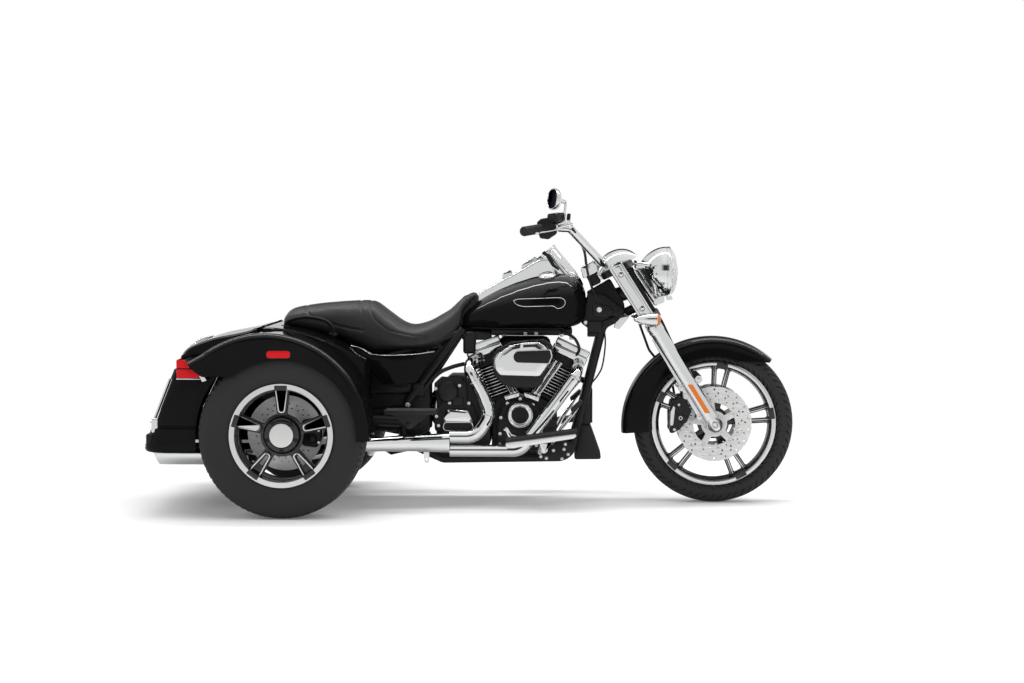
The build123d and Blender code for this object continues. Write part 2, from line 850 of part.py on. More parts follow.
cooler_x = engine_x + 255
with BuildPart() as oil_cooler:
    slab(
        [
            (cooler_x + 6, 318),
            (cooler_x + 18, 462),
            (cooler_x + 58, 462),
            (cooler_x + 62, 318),
        ],
        -70,
        70,
    )
    slab(
        [
            (cooler_x - 26, 176),
            (cooler_x - 10, 318),
            (cooler_x + 62, 318),
            (cooler_x + 78, 300),
            (cooler_x + 84, 176),
        ],
        -88,
        88,
    )
pieces["oil_cooler"] = oil_cooler

# ---------------------------------------------------------------- tank, console and seat

tank_foot = 703
tunnel = [
    (tank_rear - 1, tank_foot - 1),
    (tank_rear - 1, 736),
    (tank_front - 82, 806),
    (tank_front + 1, 850),
    (tank_front + 1, tank_foot - 1),
]
with BuildPart() as fuel_tank:
    with BuildSketch(Plane.XZ) as tank_side:
        with BuildLine():
            Line((tank_rear, tank_foot), (tank_rear, 752))
            ThreePointArc((tank_rear, 752), (tank_rear + 18, 786), (tank_rear + 52, 806))
            ThreePointArc((tank_rear + 52, 806), (tank_rear + 214, 888), (tank_front - 92, 923))
            ThreePointArc((tank_front - 92, 923), (tank_front - 20, 890), (tank_front, 800))
            ThreePointArc((tank_front, 800), (tank_front - 14, 738), (tank_front - 56, tank_foot))
            Line((tank_front - 56, tank_foot), (tank_rear, tank_foot))
        make_face()
    extrude(tank_side.sketch, amount=200, both=True)
    with BuildSketch(Plane.XY.offset(tank_foot - 10)) as tank_plan:
        with BuildLine():
            Line((tank_rear, -58), (tank_rear, 58))
            ThreePointArc((tank_rear, 58), (tank_rear + 174, 138), (tank_front - 172, 172))
            ThreePointArc((tank_front - 172, 172), (tank_front - 50, 152), (tank_front, 52))
            Line((tank_front, 52), (tank_front, -52))
            ThreePointArc((tank_front, -52), (tank_front - 50, -152), (tank_front - 172, -172))
            ThreePointArc((tank_front - 172, -172), (tank_rear + 174, -138), (tank_rear, -58))
        make_face()
    extrude(tank_plan.sketch, amount=300, mode=Mode.INTERSECT)
    with BuildSketch(Plane.YZ.offset(tank_rear)) as tank_round:
        with BuildLine():
            Line((-176, tank_foot), (176, tank_foot))
            ThreePointArc((176, tank_foot), (168, 812), (60, 923))
            Line((60, 923), (-60, 923))
            ThreePointArc((-60, 923), (-168, 812), (-176, tank_foot))
        make_face()
    extrude(tank_round.sketch, amount=tank_front - tank_rear, mode=Mode.INTERSECT)
    slab(tunnel, -tunnel_half, tunnel_half, Mode.SUBTRACT)
pieces["fuel_tank"] = fuel_tank

with BuildPart() as tank_console:
    slab(
        [
            (tank_rear + 54, 806),
            (tank_rear + 62, 820),
            (tank_rear + 164, 893),
            (tank_rear + 194, 906),
            (tank_front - 242, 926),
            (tank_front - 196, 986),
            (tank_front - 158, 1024),
            (tank_front - 116, 1032),
            (tank_front - 54, 984),
            (tank_front - 32, 932),
            (tank_front - 52, 900),
        ],
        -44,
        44,
    )
    fillet(tank_console.edges().filter_by(Axis.Y, reverse=True).group_by(Axis.Z)[-1], 8)
    add(fuel_tank.part, mode=Mode.SUBTRACT)
    slab(tunnel, -tunnel_half, tunnel_half, Mode.SUBTRACT)
pieces["tank_console"] = tank_console

seat_half = 165
pillion_half = 132
seat_split = engine_x - 500
with BuildPart() as seat:
    slab(
        [
            (engine_x - 950, 720),
            (engine_x - 948, 744),
            (engine_x - 918, 776),
            (engine_x - 806, 797),
            (engine_x - 646, 810),
            (engine_x - 582, 805),
            (engine_x - 510, 754),
            (engine_x - 438, 712),
            (engine_x - 358, 730),
            (engine_x - 282, 774),
            (engine_x - 218, 834),
            (engine_x - 190, 846),
            (engine_x - 174, 836),
            (engine_x - 196, 812),
            (tank_rear - 4, 762),
            (tank_rear - 4, 714),
            (engine_x - 300, 712),
            (engine_x - 338, 620),
            (engine_x - 588, 600),
            (engine_x - 640, 622),
            (engine_x - 745, 670),
        ],
        -seat_half,
        seat_half,
    )
    with BuildSketch(Plane.XY.offset(560)) as seat_plan:
        with BuildLine():
            Line((engine_x - 952, -96), (engine_x - 952, 96))
            Line((engine_x - 952, 96), (engine_x - 900, pillion_half))
            Line((engine_x - 900, pillion_half), (engine_x - 640, pillion_half))
            Line((engine_x - 640, pillion_half), (engine_x - 540, seat_half))
            Line((engine_x - 540, seat_half), (engine_x - 380, seat_half))
            Line((engine_x - 380, seat_half), (engine_x - 172, 56))
            Line((engine_x - 172, 56), (engine_x - 172, -56))
            Line((engine_x - 172, -56), (engine_x - 380, -seat_half))
            Line((engine_x - 380, -seat_half), (engine_x - 540, -seat_half))
            Line((engine_x - 540, -seat_half), (engine_x - 640, -pillion_half))
            Line((engine_x - 640, -pillion_half), (engine_x - 900, -pillion_half))
            Line((engine_x - 900, -pillion_half), (engine_x - 952, -96))
        make_face()
    extrude(seat_plan.sketch, amount=320, mode=Mode.INTERSECT)
    for side in (-1, 1):
        rod(rail_start(side), rail_end(side), rail_radius + 3, Mode.SUBTRACT)
    add(frame.part, mode=Mode.SUBTRACT)
pieces["seat"] = seat

# ---------------------------------------------------------------- trunk, lid and rear body

deck = [
    (rear_x + 298, 425),
    (rear_x + 298, 590),
    (rear_x + 150, 664),
    (rear_x - 62, 716),
    (rear_x - 92, 716),
    (rear_x - 92, 698),
    (rear_x - 154, 686),
    (rear_x - 292, 656),
    (rear_x - 408, 611),
]
tub_rear_foot = (rear_x - 450, 285)
tub_floor = [
    tub_rear_foot,
    (rear_x - 140, 285),
    (rear_x - 140, 445),
    (rear_x + 150, 445),
    (rear_x + 150, 425),
]
bay_front = rear_x + 144
hinge_x = rear_x - 108
hinge_z = 712
hinge_radius = 5
with BuildPart() as trunk:
    slab(deck + tub_floor, -tub_half, tub_half)
    slab(
        [
            (rear_x + 298 - sheet, 320),
            (rear_x + 298 - sheet, 586),
            (rear_x + 150, 657),
            (rear_x + 150, 320),
        ],
        -tub_half + sheet,
        tub_half - sheet,
        Mode.SUBTRACT,
    )
    slab(
        [
            (bay_front, 451),
            (bay_front, 659),
            (rear_x - 62, 710),
            (rear_x - 86, 710),
            (rear_x - 98, 692),
            (rear_x - 155, 679),
            (rear_x - 289, 650),
            (rear_x - 402, 607),
            (rear_x - 444, 291),
            (rear_x - 146, 291),
            (rear_x - 146, 451),
        ],
        -tub_half + sheet,
        tub_half - sheet,
        Mode.SUBTRACT,
    )
    mouth_half = tub_half - 30
    block((rear_x - 396, -mouth_half, 560), (rear_x - 130, mouth_half, 720), Mode.SUBTRACT)
    for side in (-1, 1):
        rod((hinge_x, side * 236, hinge_z), (hinge_x, side * 300, hinge_z), hinge_radius)
        block(
            (hinge_x - 8, min(side * 236, side * 248), 690),
            (hinge_x + 8, max(side * 236, side * 248), hinge_z + 6),
        )
        rod(rail_start(side), rail_end(side), rail_radius + seat_gap, Mode.SUBTRACT)
pieces["trunk"] = trunk

lid_half = tub_half - 15
lid_top = [
    (rear_x - 122, 714),
    (rear_x - 154, 702),
    (rear_x - 292, 672),
    (rear_x - 417, 626),
    (rear_x - 442, 610),
    (rear_x - 466, 573),
]
with BuildPart() as trunk_lid:
    slab(
        lid_top
        + [
            (rear_x - 460, 569),
            (rear_x - 436, 604),
            (rear_x - 414, 618),
            (rear_x - 290, 664),
            (rear_x - 152, 694),
            (rear_x - 122, 704),
        ],
        -lid_half,
        lid_half,
    )
    for side in (-1, 1):
        knuckle_low = min(side * 254, side * 296)
        rod((hinge_x, knuckle_low, hinge_z), (hinge_x, knuckle_low + 42, hinge_z), hinge_radius + 4)
        block((hinge_x - 20, knuckle_low, hinge_z - 10), (hinge_x - 4, knuckle_low + 42, hinge_z))
        rod(
            (hinge_x, knuckle_low - 1, hinge_z),
            (hinge_x, knuckle_low + 43, hinge_z),
            hinge_radius + running_gap,
            Mode.SUBTRACT,
        )
pieces["trunk_lid"] = trunk_lid

crest_x = rear_x - 57
crest_z = 314
crest_radius = 395
arch_radius = 287
inner_arch_radius = 302
tail_tip = (rear_x - 351, 599)


def crest_outline(inset):
    """Side outline of a rear fender, drawn in by the thickness of its skin."""
    radius = crest_radius - inset
    foot = 300
    low_dx = math.sqrt(radius**2 - (crest_z - foot) ** 2)
    join_dx = 235
    join = (crest_x - join_dx, crest_z + math.sqrt(radius**2 - join_dx**2))
    front = (crest_x + low_dx, foot)
    ThreePointArc(front, (crest_x + radius * math.sin(0.5), crest_z + radius * math.cos(0.5)), join)
    tip = (tail_tip[0] + inset, tail_tip[1] - inset)
    Line(join, tip)
    Line(tip, (rear_x - 293 + inset, 543))
    Line((rear_x - 293 + inset, 543), (rear_x - 180, 543))
    Line((rear_x - 180, 543), (rear_x, foot))
    Line((rear_x, foot), front)


for name, side in (("right", -1), ("left", 1)):
    with BuildPart() as rear_fender:
        outer_y = side * body_half_width
        inner_y = side * tub_half
        with BuildSketch(Plane.XZ.offset(-max(outer_y, inner_y))) as crest:
            with BuildLine():
                crest_outline(0)
            make_face()
        extrude(crest.sketch, amount=body_half_width - tub_half)
        skin_low = min(outer_y - side * sheet, inner_y + side * sheet)
        skin_high = max(outer_y - side * sheet, inner_y + side * sheet)
        with BuildSketch(Plane.XZ.offset(-skin_high)) as hollow:
            with BuildLine():
                crest_outline(sheet)
            make_face()
        extrude(hollow.sketch, amount=skin_high - skin_low, mode=Mode.SUBTRACT)
        hub = (rear_x, outer_y + side, rear_tyre_radius)
        rod(hub, (rear_x, outer_y - side * (sheet + 1), rear_tyre_radius), arch_radius, Mode.SUBTRACT)
        rod(hub, (rear_x, inner_y - side, rear_tyre_radius), inner_arch_radius - 30, Mode.SUBTRACT)
        block(
            (rear_x - 420, skin_low, 200),
            (rear_x + 420, skin_high, 300 + sheet),
            Mode.SUBTRACT,
        )
        block(
            (rear_x - 420, skin_low, 500),
            (rear_x - 100, skin_high, 543 + sheet),
            Mode.SUBTRACT,
        )
    pieces[f"rear_fender_{name}"] = rear_fender

muffler_y = 385
muffler_z = 226
fascia_half = body_half_width - 90
tail_lamp_inner = tub_half + 30
tail_lamp_outer = body_half_width - 38
fascia_face = [(rear_x - 422, 565), (rear_x - 440, 520), (rear_x - 527, 299), (rear_x - 549, 246)]
lamp_side = [
    (rear_x - 395, 607),
    (rear_x - 362, 607),
    (rear_x - 304, 551),
    (rear_x - 300, 531),
    (rear_x - 393, 531),
]
with BuildPart() as tail_lamps:
    for side in (-1, 1):
        ends = sorted((side * tail_lamp_inner, side * tail_lamp_outer))
        slab(lamp_side, *ends)
pieces["tail_lamps"] = tail_lamps

with BuildPart() as rear_fascia:
    slab(fascia_face + [(rear_x - 330, 246), (rear_x - 330, 565)], -fascia_half, fascia_half)
    slab(
        [
            (rear_x - 413, 570),
            (rear_x - 434, 520),
            (rear_x - 521, 299),
            (rear_x - 545, 240),
            (rear_x - 320, 240),
            (rear_x - 320, 570),
        ],
        -fascia_half + sheet,
        fascia_half - sheet,
        Mode.SUBTRACT,
    )
    for side in (-1, 1):
        block(
            (rear_x - 500, side * 300 - 3, 380),
            (rear_x - 420, side * 300 + 3, 420),
        )
        rod(
            (rear_x - 600, side * muffler_y, muffler_z),
            (rear_x - 400, side * muffler_y, muffler_z),
            muffler_radius + moving_gap,
            Mode.SUBTRACT,
        )
    add(trunk.part, mode=Mode.SUBTRACT)
    add(tail_lamps.part, mode=Mode.SUBTRACT)
pieces["rear_fascia"] = rear_fascia

plate_z = 330
plate_x = -(wheelbase + rear_overhang + front_tyre_radius) / 2
with BuildPart() as plate_bracket:
    block((plate_x, -90, 262), (plate_x + 4, 90, 352))
    for side in (-1, 1):
        block((plate_x + 4, side * 60 - 12, 290), (plate_x + 100, side * 60 + 12, 302))
        rod((plate_x - 1, side * 73, plate_z), (plate_x + 5, side * 73, plate_z), 3.5, Mode.SUBTRACT)
    slab(
        [
            (rear_x - 440, 520),
            (rear_x - 527, 299),
            (rear_x - 549, 246),
            (rear_x - 300, 246),
            (rear_x - 300, 520),
        ],
        -100,
        100,
        Mode.SUBTRACT,
    )
pieces["plate_bracket"] = plate_bracket

# ---------------------------------------------------------------- exhaust

header_radius = 22
pipe_y = 215
muffler_head = rear_x + 90
muffler_tail = rear_x - 536
collector_radius = 34
port_y = 60
join_x = engine_x - 277  # where the two headers meet
join_z = 250
join_rise = 27
with BuildPart() as exhaust_headers:
    tube(
        [
            (engine_x - 160, -port_y, 588),
            (engine_x - 212, -pipe_y, 560),
            (engine_x - 153, -pipe_y, 456),
            (engine_x - 116, -pipe_y, 366),
            (engine_x - 172, -pipe_y, join_z + join_rise),
            (join_x, -pipe_y, join_z + join_rise),
        ],
        header_radius,
        bend=[50, 60, 80, 70],
    )
    tube(
        [
            (engine_x + 228, -port_y + 8, 568),
            (engine_x + 230, -pipe_y, 530),
            (engine_x + 56, -pipe_y, 297),
            (engine_x + 4, -pipe_y, join_z - join_rise),
            (join_x, -pipe_y, join_z - join_rise),
        ],
        header_radius,
        bend=[45, 100, 60],
    )
    joint = Plane(origin=(join_x, -pipe_y, join_z), x_dir=(0, 1, 0), z_dir=(-1, 0, 0))
    with BuildSketch(joint) as pair:
        SlotCenterToCenter(2 * join_rise, 2 * header_radius + 2, rotation=90)
    with BuildSketch(joint.offset(64)) as single:
        Circle(collector_radius)
    loft(sections=[pair.sketch, single.sketch])
    tube(
        [
            (join_x - 64, -pipe_y, join_z),
            (engine_x - 430, -pipe_y, join_z),
            (rear_x + 260, -300, 254),
            (muffler_head - 20, -muffler_y, muffler_z),
        ],
        collector_radius,
        bend=100,
    )
    tube(
        [
            (rear_x + 322, -272, 252),
            (rear_x + 300, -130, 220),
            (rear_x + 300, 130, 220),
            (rear_x + 250, 300, 226),
            (muffler_head - 20, muffler_y, muffler_z),
        ],
        26,
        bend=60,
    )
    add(cylinders.part, mode=Mode.SUBTRACT)
    add(rocker_covers.part, mode=Mode.SUBTRACT)
pieces["exhaust_headers"] = exhaust_headers

with BuildPart() as mufflers:
    for side in (-1, 1):
        aside = side * muffler_y
        rod((muffler_head, aside, muffler_z), (muffler_tail, aside, muffler_z), muffler_radius)
        rod(
            (muffler_tail - 1, aside, muffler_z),
            (muffler_tail + 160, aside, muffler_z),
            muffler_radius - 3,
            Mode.SUBTRACT,
        )
        slab(
            [
                (muffler_tail - 1, muffler_z - muffler_radius - 1),
                (muffler_tail + 38, muffler_z - muffler_radius - 1),
                (muffler_tail - 1, muffler_z + muffler_radius + 1),
            ],
            aside - 50,
            aside + 50,
            Mode.SUBTRACT,
        )
    add(exhaust_headers.part, mode=Mode.SUBTRACT)
pieces["mufflers"] = mufflers

# ---------------------------------------------------------------- rear axle and suspension

axle_tube_radius = 38
shock_y = 196
disc_inner_y = wheel_y - hub_inner - rear_disc_thickness
with BuildPart() as rear_axle:
    with Locations((rear_x, 0, rear_tyre_radius)):
        Sphere(108)
    tube_end = disc_inner_y - 52
    rod((rear_x, -tube_end, rear_tyre_radius), (rear_x, tube_end, rear_tyre_radius), axle_tube_radius)
    for side in (-1, 1):
        tube(
            [
                (rear_x, side * 205, rear_tyre_radius),
                (rear_x + 160, side * 190, 350),
                (pivot_x + 44, side * (rail_rear_y + tube_radius + 16), pivot_z),
            ],
            22,
            bend=80,
        )
        rod(
            (pivot_x + 44, side * (rail_rear_y - 10), pivot_z),
            (pivot_x + 44, side * (rail_rear_y + tube_radius + 40), pivot_z),
            13,
        )
        rod((rear_x + 190, side * shock_y, 340), (rear_x + 190, side * shock_y, 384), 15)
    for side in (-1, 1):
        inner = side * (disc_inner_y - 34)
        outer = side * (disc_inner_y + rear_disc_thickness + 14)
        block(
            (rear_x + 62, min(inner, outer), rear_tyre_radius - 50),
            (rear_x + 140, max(inner, outer), rear_tyre_radius + 60),
        )
        near = side * tube_end
        block(
            (rear_x - 60, min(near, inner), rear_tyre_radius - 55),
            (rear_x + 120, max(near, inner), rear_tyre_radius + 55),
        )
        disc_middle = side * (disc_inner_y + rear_disc_thickness / 2)
        with Locations(Plane(origin=(rear_x, disc_middle, rear_tyre_radius), z_dir=(0, 1, 0))):
            Cylinder(rear_disc_radius + moving_gap, rear_disc_thickness + 4, mode=Mode.SUBTRACT)
    rod(
        (rear_x, -wheel_y - spindle_tip, rear_tyre_radius),
        (rear_x, wheel_y + spindle_tip, rear_tyre_radius),
        spindle_radius,
    )
    add(frame.part, mode=Mode.SUBTRACT)
pieces["rear_axle"] = rear_axle

shock_foot = (rear_x + 190, 384)
shock_head = (rear_x + 225, 541)
with BuildPart() as rear_shocks:
    for side in (-1, 1):
        foot = (shock_foot[0], side * shock_y, shock_foot[1])
        head = (shock_head[0], side * shock_y, shock_head[1])
        rod(foot, head, 17)
        for coil in range(6):
            low = 0.12 + 0.12 * coil
            ends = [
                tuple(a + (b - a) * share for a, b in zip(foot, head))
                for share in (low, low + 0.06)
            ]
            rod(ends[0], ends[1], 27)
    add(rear_axle.part, mode=Mode.SUBTRACT)
    add(frame.part, mode=Mode.SUBTRACT)
pieces["rear_shocks"] = rear_shocks

belt_y = 112
pulley_x = primary_rear + 6
with BuildPart() as drive_belt:
    slab(
        [
            (pulley_x - 62, 418),
            (pulley_x - 62, 326),
            (rear_x + 20, 236),
            (rear_x - 60, 262),
            (rear_x - 80, 318),
            (rear_x - 60, 374),
            (rear_x + 20, 400),
        ],
        belt_y - 14,
        belt_y + 14,
    )
    slab(
        [
            (pulley_x - 72, 408),
            (pulley_x - 72, 336),
            (rear_x + 20, 246),
            (rear_x - 52, 268),
            (rear_x - 70, 318),
            (rear_x - 52, 368),
            (rear_x + 20, 390),
        ],
        belt_y - 15,
        belt_y + 15,
        Mode.SUBTRACT,
    )
    add(transmission.part, mode=Mode.SUBTRACT)
    add(frame.part, mode=Mode.SUBTRACT)
pieces["drive_belt"] = drive_belt

# ---------------------------------------------------------------- footboards, handles and side covers

board_y = 330
board_half = 58
front_board = [(engine_x - 52, 282), (engine_x + 222, 320)]
rear_board = [(rear_x + 369, 396), (rear_x + 575, 396)]
board_thickness = 18
with BuildPart() as footboards:
    for side in (-1, 1):
        low = min(side * (board_y - board_half), side * (board_y + board_half))
        for (x0, z0), (x1, z1) in (front_board, rear_board):
            slab(
                [(x0, z0), (x1, z1), (x1, z1 - board_thickness), (x0, z0 - board_thickness)],
                low,
                low + 2 * board_half,
            )
        bracket = (engine_x + 80, side * (rail_rear_y - 22 + tube_radius), 206)
        rod(bracket, (engine_x + 80, side * board_y, 288), 13)
        rod((rear_x + 472, side * 268, 384), (rear_x + 440, side * (rail_rear_y + 8), 372), 12)
    add(frame.part, mode=Mode.SUBTRACT)
pieces["footboards"] = footboards

pedal_x = engine_x + 254
with BuildPart() as foot_controls:
    for side in (-1, 1):
        aside = side * 300
        block((pedal_x - 32, aside - 36, 386), (pedal_x + 6, aside + 36, 404))
        elbow = (pedal_x - 66, side * (board_y - board_half - 24), 262)
        rod((pedal_x - 12, side * (board_y - board_half - 4), 390), elbow, 9)
        rod(elbow, (pedal_x - 66, side * 130, 224), 9)
    add(frame.part, mode=Mode.SUBTRACT)
    add(footboards.part, mode=Mode.SUBTRACT)
pieces["foot_controls"] = foot_controls

handle_radius = 9
with BuildPart() as grab_handles:
    for side in (-1, 1):
        tube(
            [
                (rear_x - 24, side * 168, 705),
                (rear_x - 22, side * 172, 744),
                (rear_x + 60, side * 188, 752),
                (rear_x + 148, side * 186, 734),
                (rear_x + 154, side * 168, 668),
            ],
            handle_radius,
            bend=18,
        )
    add(trunk.part, mode=Mode.SUBTRACT)
pieces["grab_handles"] = grab_handles

cover_y = 172  # inner face of the side covers
with BuildPart() as side_covers:
    for side in (-1, 1):
        slab(
            [
                (engine_x - 676, 636),
                (engine_x - 588, 602),
                (engine_x - 330, 612),
                (engine_x - 412, 488),
                (engine_x - 536, 480),
                (engine_x - 592, 540),
            ],
            *sorted((side * cover_y, side * (cover_y + 8))),
        )
        rod((engine_x - 400, side * 120, 560), (engine_x - 400, side * (cover_y + 1), 560), 10)
    add(frame.part, mode=Mode.SUBTRACT)
    add(trunk.part, mode=Mode.SUBTRACT)
    add(seat.part, mode=Mode.SUBTRACT)
pieces["side_covers"] = side_covers

with BuildPart() as brake_line:
    tube(
        [
            steer(-40, lower_tree - tree_half, 100),
            steer(-52, 700, 100),
            steer(-20, 560, 104),
            (caliper_x - 20, 108, caliper_z + 68),
        ],
        5,
        bend=60,
    )
    add(front_calipers.part, mode=Mode.SUBTRACT)
    add(triple_tree.part, mode=Mode.SUBTRACT)
pieces["brake_line"] = brake_line

# ---------------------------------------------------------------- export

for name, piece in pieces.items():
    piece.part.label = name
    export_step(piece.part, f"parts/{name}.step")
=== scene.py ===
"""Looks of the motorized trike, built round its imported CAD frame.

Sizes are in millimetres in the frame's own axes: +X forward, +Y to the rider's left, +Z up.
The camera, lamps and floor are in metres.
"""

import math

import bmesh
import bpy
import numpy as np
from mathutils import Matrix, Vector


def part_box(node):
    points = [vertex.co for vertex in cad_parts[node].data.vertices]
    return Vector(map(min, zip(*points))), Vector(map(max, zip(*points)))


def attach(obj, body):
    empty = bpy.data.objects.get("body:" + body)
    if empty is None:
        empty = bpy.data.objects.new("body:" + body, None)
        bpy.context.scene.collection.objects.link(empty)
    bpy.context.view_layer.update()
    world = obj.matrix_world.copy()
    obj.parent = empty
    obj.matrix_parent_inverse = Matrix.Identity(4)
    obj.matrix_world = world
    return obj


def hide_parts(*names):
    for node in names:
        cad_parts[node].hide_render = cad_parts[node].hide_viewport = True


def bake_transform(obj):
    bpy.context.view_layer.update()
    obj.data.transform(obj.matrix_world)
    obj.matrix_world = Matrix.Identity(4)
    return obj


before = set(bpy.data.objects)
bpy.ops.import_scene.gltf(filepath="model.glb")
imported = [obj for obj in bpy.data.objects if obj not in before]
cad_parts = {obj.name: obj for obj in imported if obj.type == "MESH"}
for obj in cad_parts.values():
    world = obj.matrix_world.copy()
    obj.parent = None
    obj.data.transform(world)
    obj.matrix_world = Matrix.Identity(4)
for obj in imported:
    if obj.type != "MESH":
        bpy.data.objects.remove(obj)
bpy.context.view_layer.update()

MM = 0.001
X, Y, Z = (1, 0, 0), (0, 1, 0), (0, 0, 1)
sides = (-1, 1)  # right and left

# ---------------------------------------------------------------- camera, light and floor

PHOTO_WIDTH = 1024
FOCAL_PIXELS = 2358
EYE = (0.343, -9.5, 1.103)
AIM_RIGHT, AIM_UP = -48, -113.7  # pixels from the straight-ahead point to the picture's middle
SENSOR = 36


def place_new(name, data, place=(0, 0, 0), aim=(0, 0, -1)):
    """A new object in the scene, with its -Z along aim."""
    obj = bpy.data.objects.new(name, data)
    bpy.context.scene.collection.objects.link(obj)
    obj.location = place
    if tuple(aim) != (0, 0, -1):
        obj.rotation_euler = Vector(aim).to_track_quat("-Z", "Y").to_euler()
    return obj


def add_camera():
    data = bpy.data.cameras.new("camera")
    data.sensor_width = SENSOR
    data.lens = SENSOR * FOCAL_PIXELS / PHOTO_WIDTH
    data.clip_end = 200
    aim = (AIM_RIGHT / FOCAL_PIXELS, 1, AIM_UP / FOCAL_PIXELS)
    bpy.context.scene.camera = place_new("camera", data, EYE, aim)


class Tree:
    """Adds shader nodes to a world or a material."""

    def __init__(self, owner, clear=True):
        owner.use_nodes = True
        self.nodes, self.links = owner.node_tree.nodes, owner.node_tree.links
        if clear:
            self.nodes.clear()

    def join(self, target, inputs):
        """Give each input its constant, or a link when the value is a socket."""
        for socket, value in inputs.items():
            if isinstance(value, bpy.types.NodeSocket):
                self.links.new(value, target.inputs[socket])
            else:
                target.inputs[socket].default_value = value

    def add(self, kind, inputs, **settings):
        made = self.nodes.new("ShaderNode" + kind)
        for name, value in settings.items():
            setattr(made, name, value)
        self.join(made, inputs)
        return made

    def background_share(self):
        """1 for rays that should see the white background, 0 for rays that light the object."""
        path = self.add("LightPath", {}).outputs
        direct = self.add("Math", {0: path["Is Camera Ray"], 1: path["Is Glossy Ray"]}, operation="MAXIMUM")
        every = {0: direct.outputs[0], 1: path["Is Transmission Ray"]}
        return self.add("Math", every, operation="MAXIMUM").outputs[0]


def add_world():
    world = bpy.data.worlds.new("studio")
    bpy.context.scene.world = world
    tree = Tree(world)
    place = tree.add("TexCoord", {}).outputs["Generated"]
    split = tree.add("SeparateXYZ", {0: place}).outputs
    ramp = tree.add("ValToRGB", {0: split["Z"]})
    stops = [(0.0, 1.0), (0.115, 1.0), (0.16, 0.06), (0.5, 0.04), (0.62, 1.05), (1.0, 1.25)]
    while len(ramp.color_ramp.elements) < len(stops):
        ramp.color_ramp.elements.new(0.5)
    for element, (spot, level) in zip(ramp.color_ramp.elements, stops):
        element.position = spot
        element.color = (level, level, level, 1)
    # The dark band only shows where a surface runs level, not on the leaning fork
    aside = tree.add("Math", {0: split["X"]}, operation="ABSOLUTE").outputs[0]
    leaning = tree.add("MapRange", {"From Min": 0.2, "From Max": 0.45, "Value": aside})
    blend = {"B": (1, 1, 1, 1), "Factor": leaning.outputs["Result"], "A": ramp.outputs[0]}
    blend = tree.add("Mix", blend, data_type="RGBA")
    seen = tree.add("Background", {0: blend.outputs["Result"], 1: 1.0})
    soft = tree.add("Background", {0: (1, 1, 1, 1), 1: 0.55})
    mix = {0: tree.background_share(), 1: soft.outputs[0], 2: seen.outputs[0]}
    tree.add("OutputWorld", {0: tree.add("MixShader", mix).outputs[0]})


def add_floor():
    """A floor that fades into the white background away from the trike."""
    mesh = bpy.data.meshes.new("floor")
    reach = 60
    corners = [(-reach, -reach, 0), (reach, -reach, 0), (reach, reach, 0), (-reach, reach, 0)]
    mesh.from_pydata(corners, [], [(0, 1, 2, 3)])
    material = bpy.data.materials.new("floor")
    tree = Tree(material)
    diffuse = tree.add("BsdfDiffuse", {0: (0.9, 0.9, 0.9, 1)}).outputs[0]
    lift = tree.add("Emission", {}).outputs[0]
    place = tree.add("TexCoord", {}).outputs["Object"]
    distance = tree.add("VectorMath", {}, operation="LENGTH")
    tree.join(distance, {0: place})
    fade = {"From Min": 1.3, "From Max": 4.5, "To Min": 0.08, "To Max": 1.0, "Value": distance.outputs["Value"]}
    seen = {0: tree.add("MapRange", fade).outputs["Result"], 1: tree.background_share()}
    seen = tree.add("Math", seen, operation="MULTIPLY").outputs[0]
    both = tree.add("MixShader", {0: seen, 1: diffuse, 2: lift})
    tree.add("OutputMaterial", {0: both.outputs[0]})
    mesh.materials.append(material)
    place_new("floor", mesh)


bpy.context.scene.view_settings.view_transform = "Standard"
add_camera()
add_world()
add_floor()
lamps = [  # name, place, target, size, power and whether it shows in reflections
    ("overhead", (0.0, -0.8, 4.7), (0, 0, 0.4), (5.0, 2.2), 80, False),
    ("overhead_strip", (0.0, 0.5, 4.5), (0, 0, 0.4), (9.0, 0.3), 150, True),
    ("front_side", (3.2, -4.6, 2.6), (0.1, 0, 0.6), (1.2, 2.6), 70, False),
    ("rear_side", (-3.4, -4.4, 2.4), (-0.2, 0, 0.6), (1.0, 2.6), 60, False),
    ("far_side", (0.2, 5.0, 3.0), (0, 0, 0.6), (4.0, 1.4), 90, False),
]
for name, place, target, size, power, seen in lamps:
    light = bpy.data.lights.new(name, "AREA")
    light.shape = "RECTANGLE"
    light.size, light.size_y = size
    light.energy = power
    place_new(name, light, place, Vector(target) - Vector(place)).visible_glossy = seen

# ---------------------------------------------------------------- materials

GREY_LIFT = 0.01  # share of the tint that is added to the lighter colour
BUMP_DEPTH = 0.0006  # metres
materials = {}


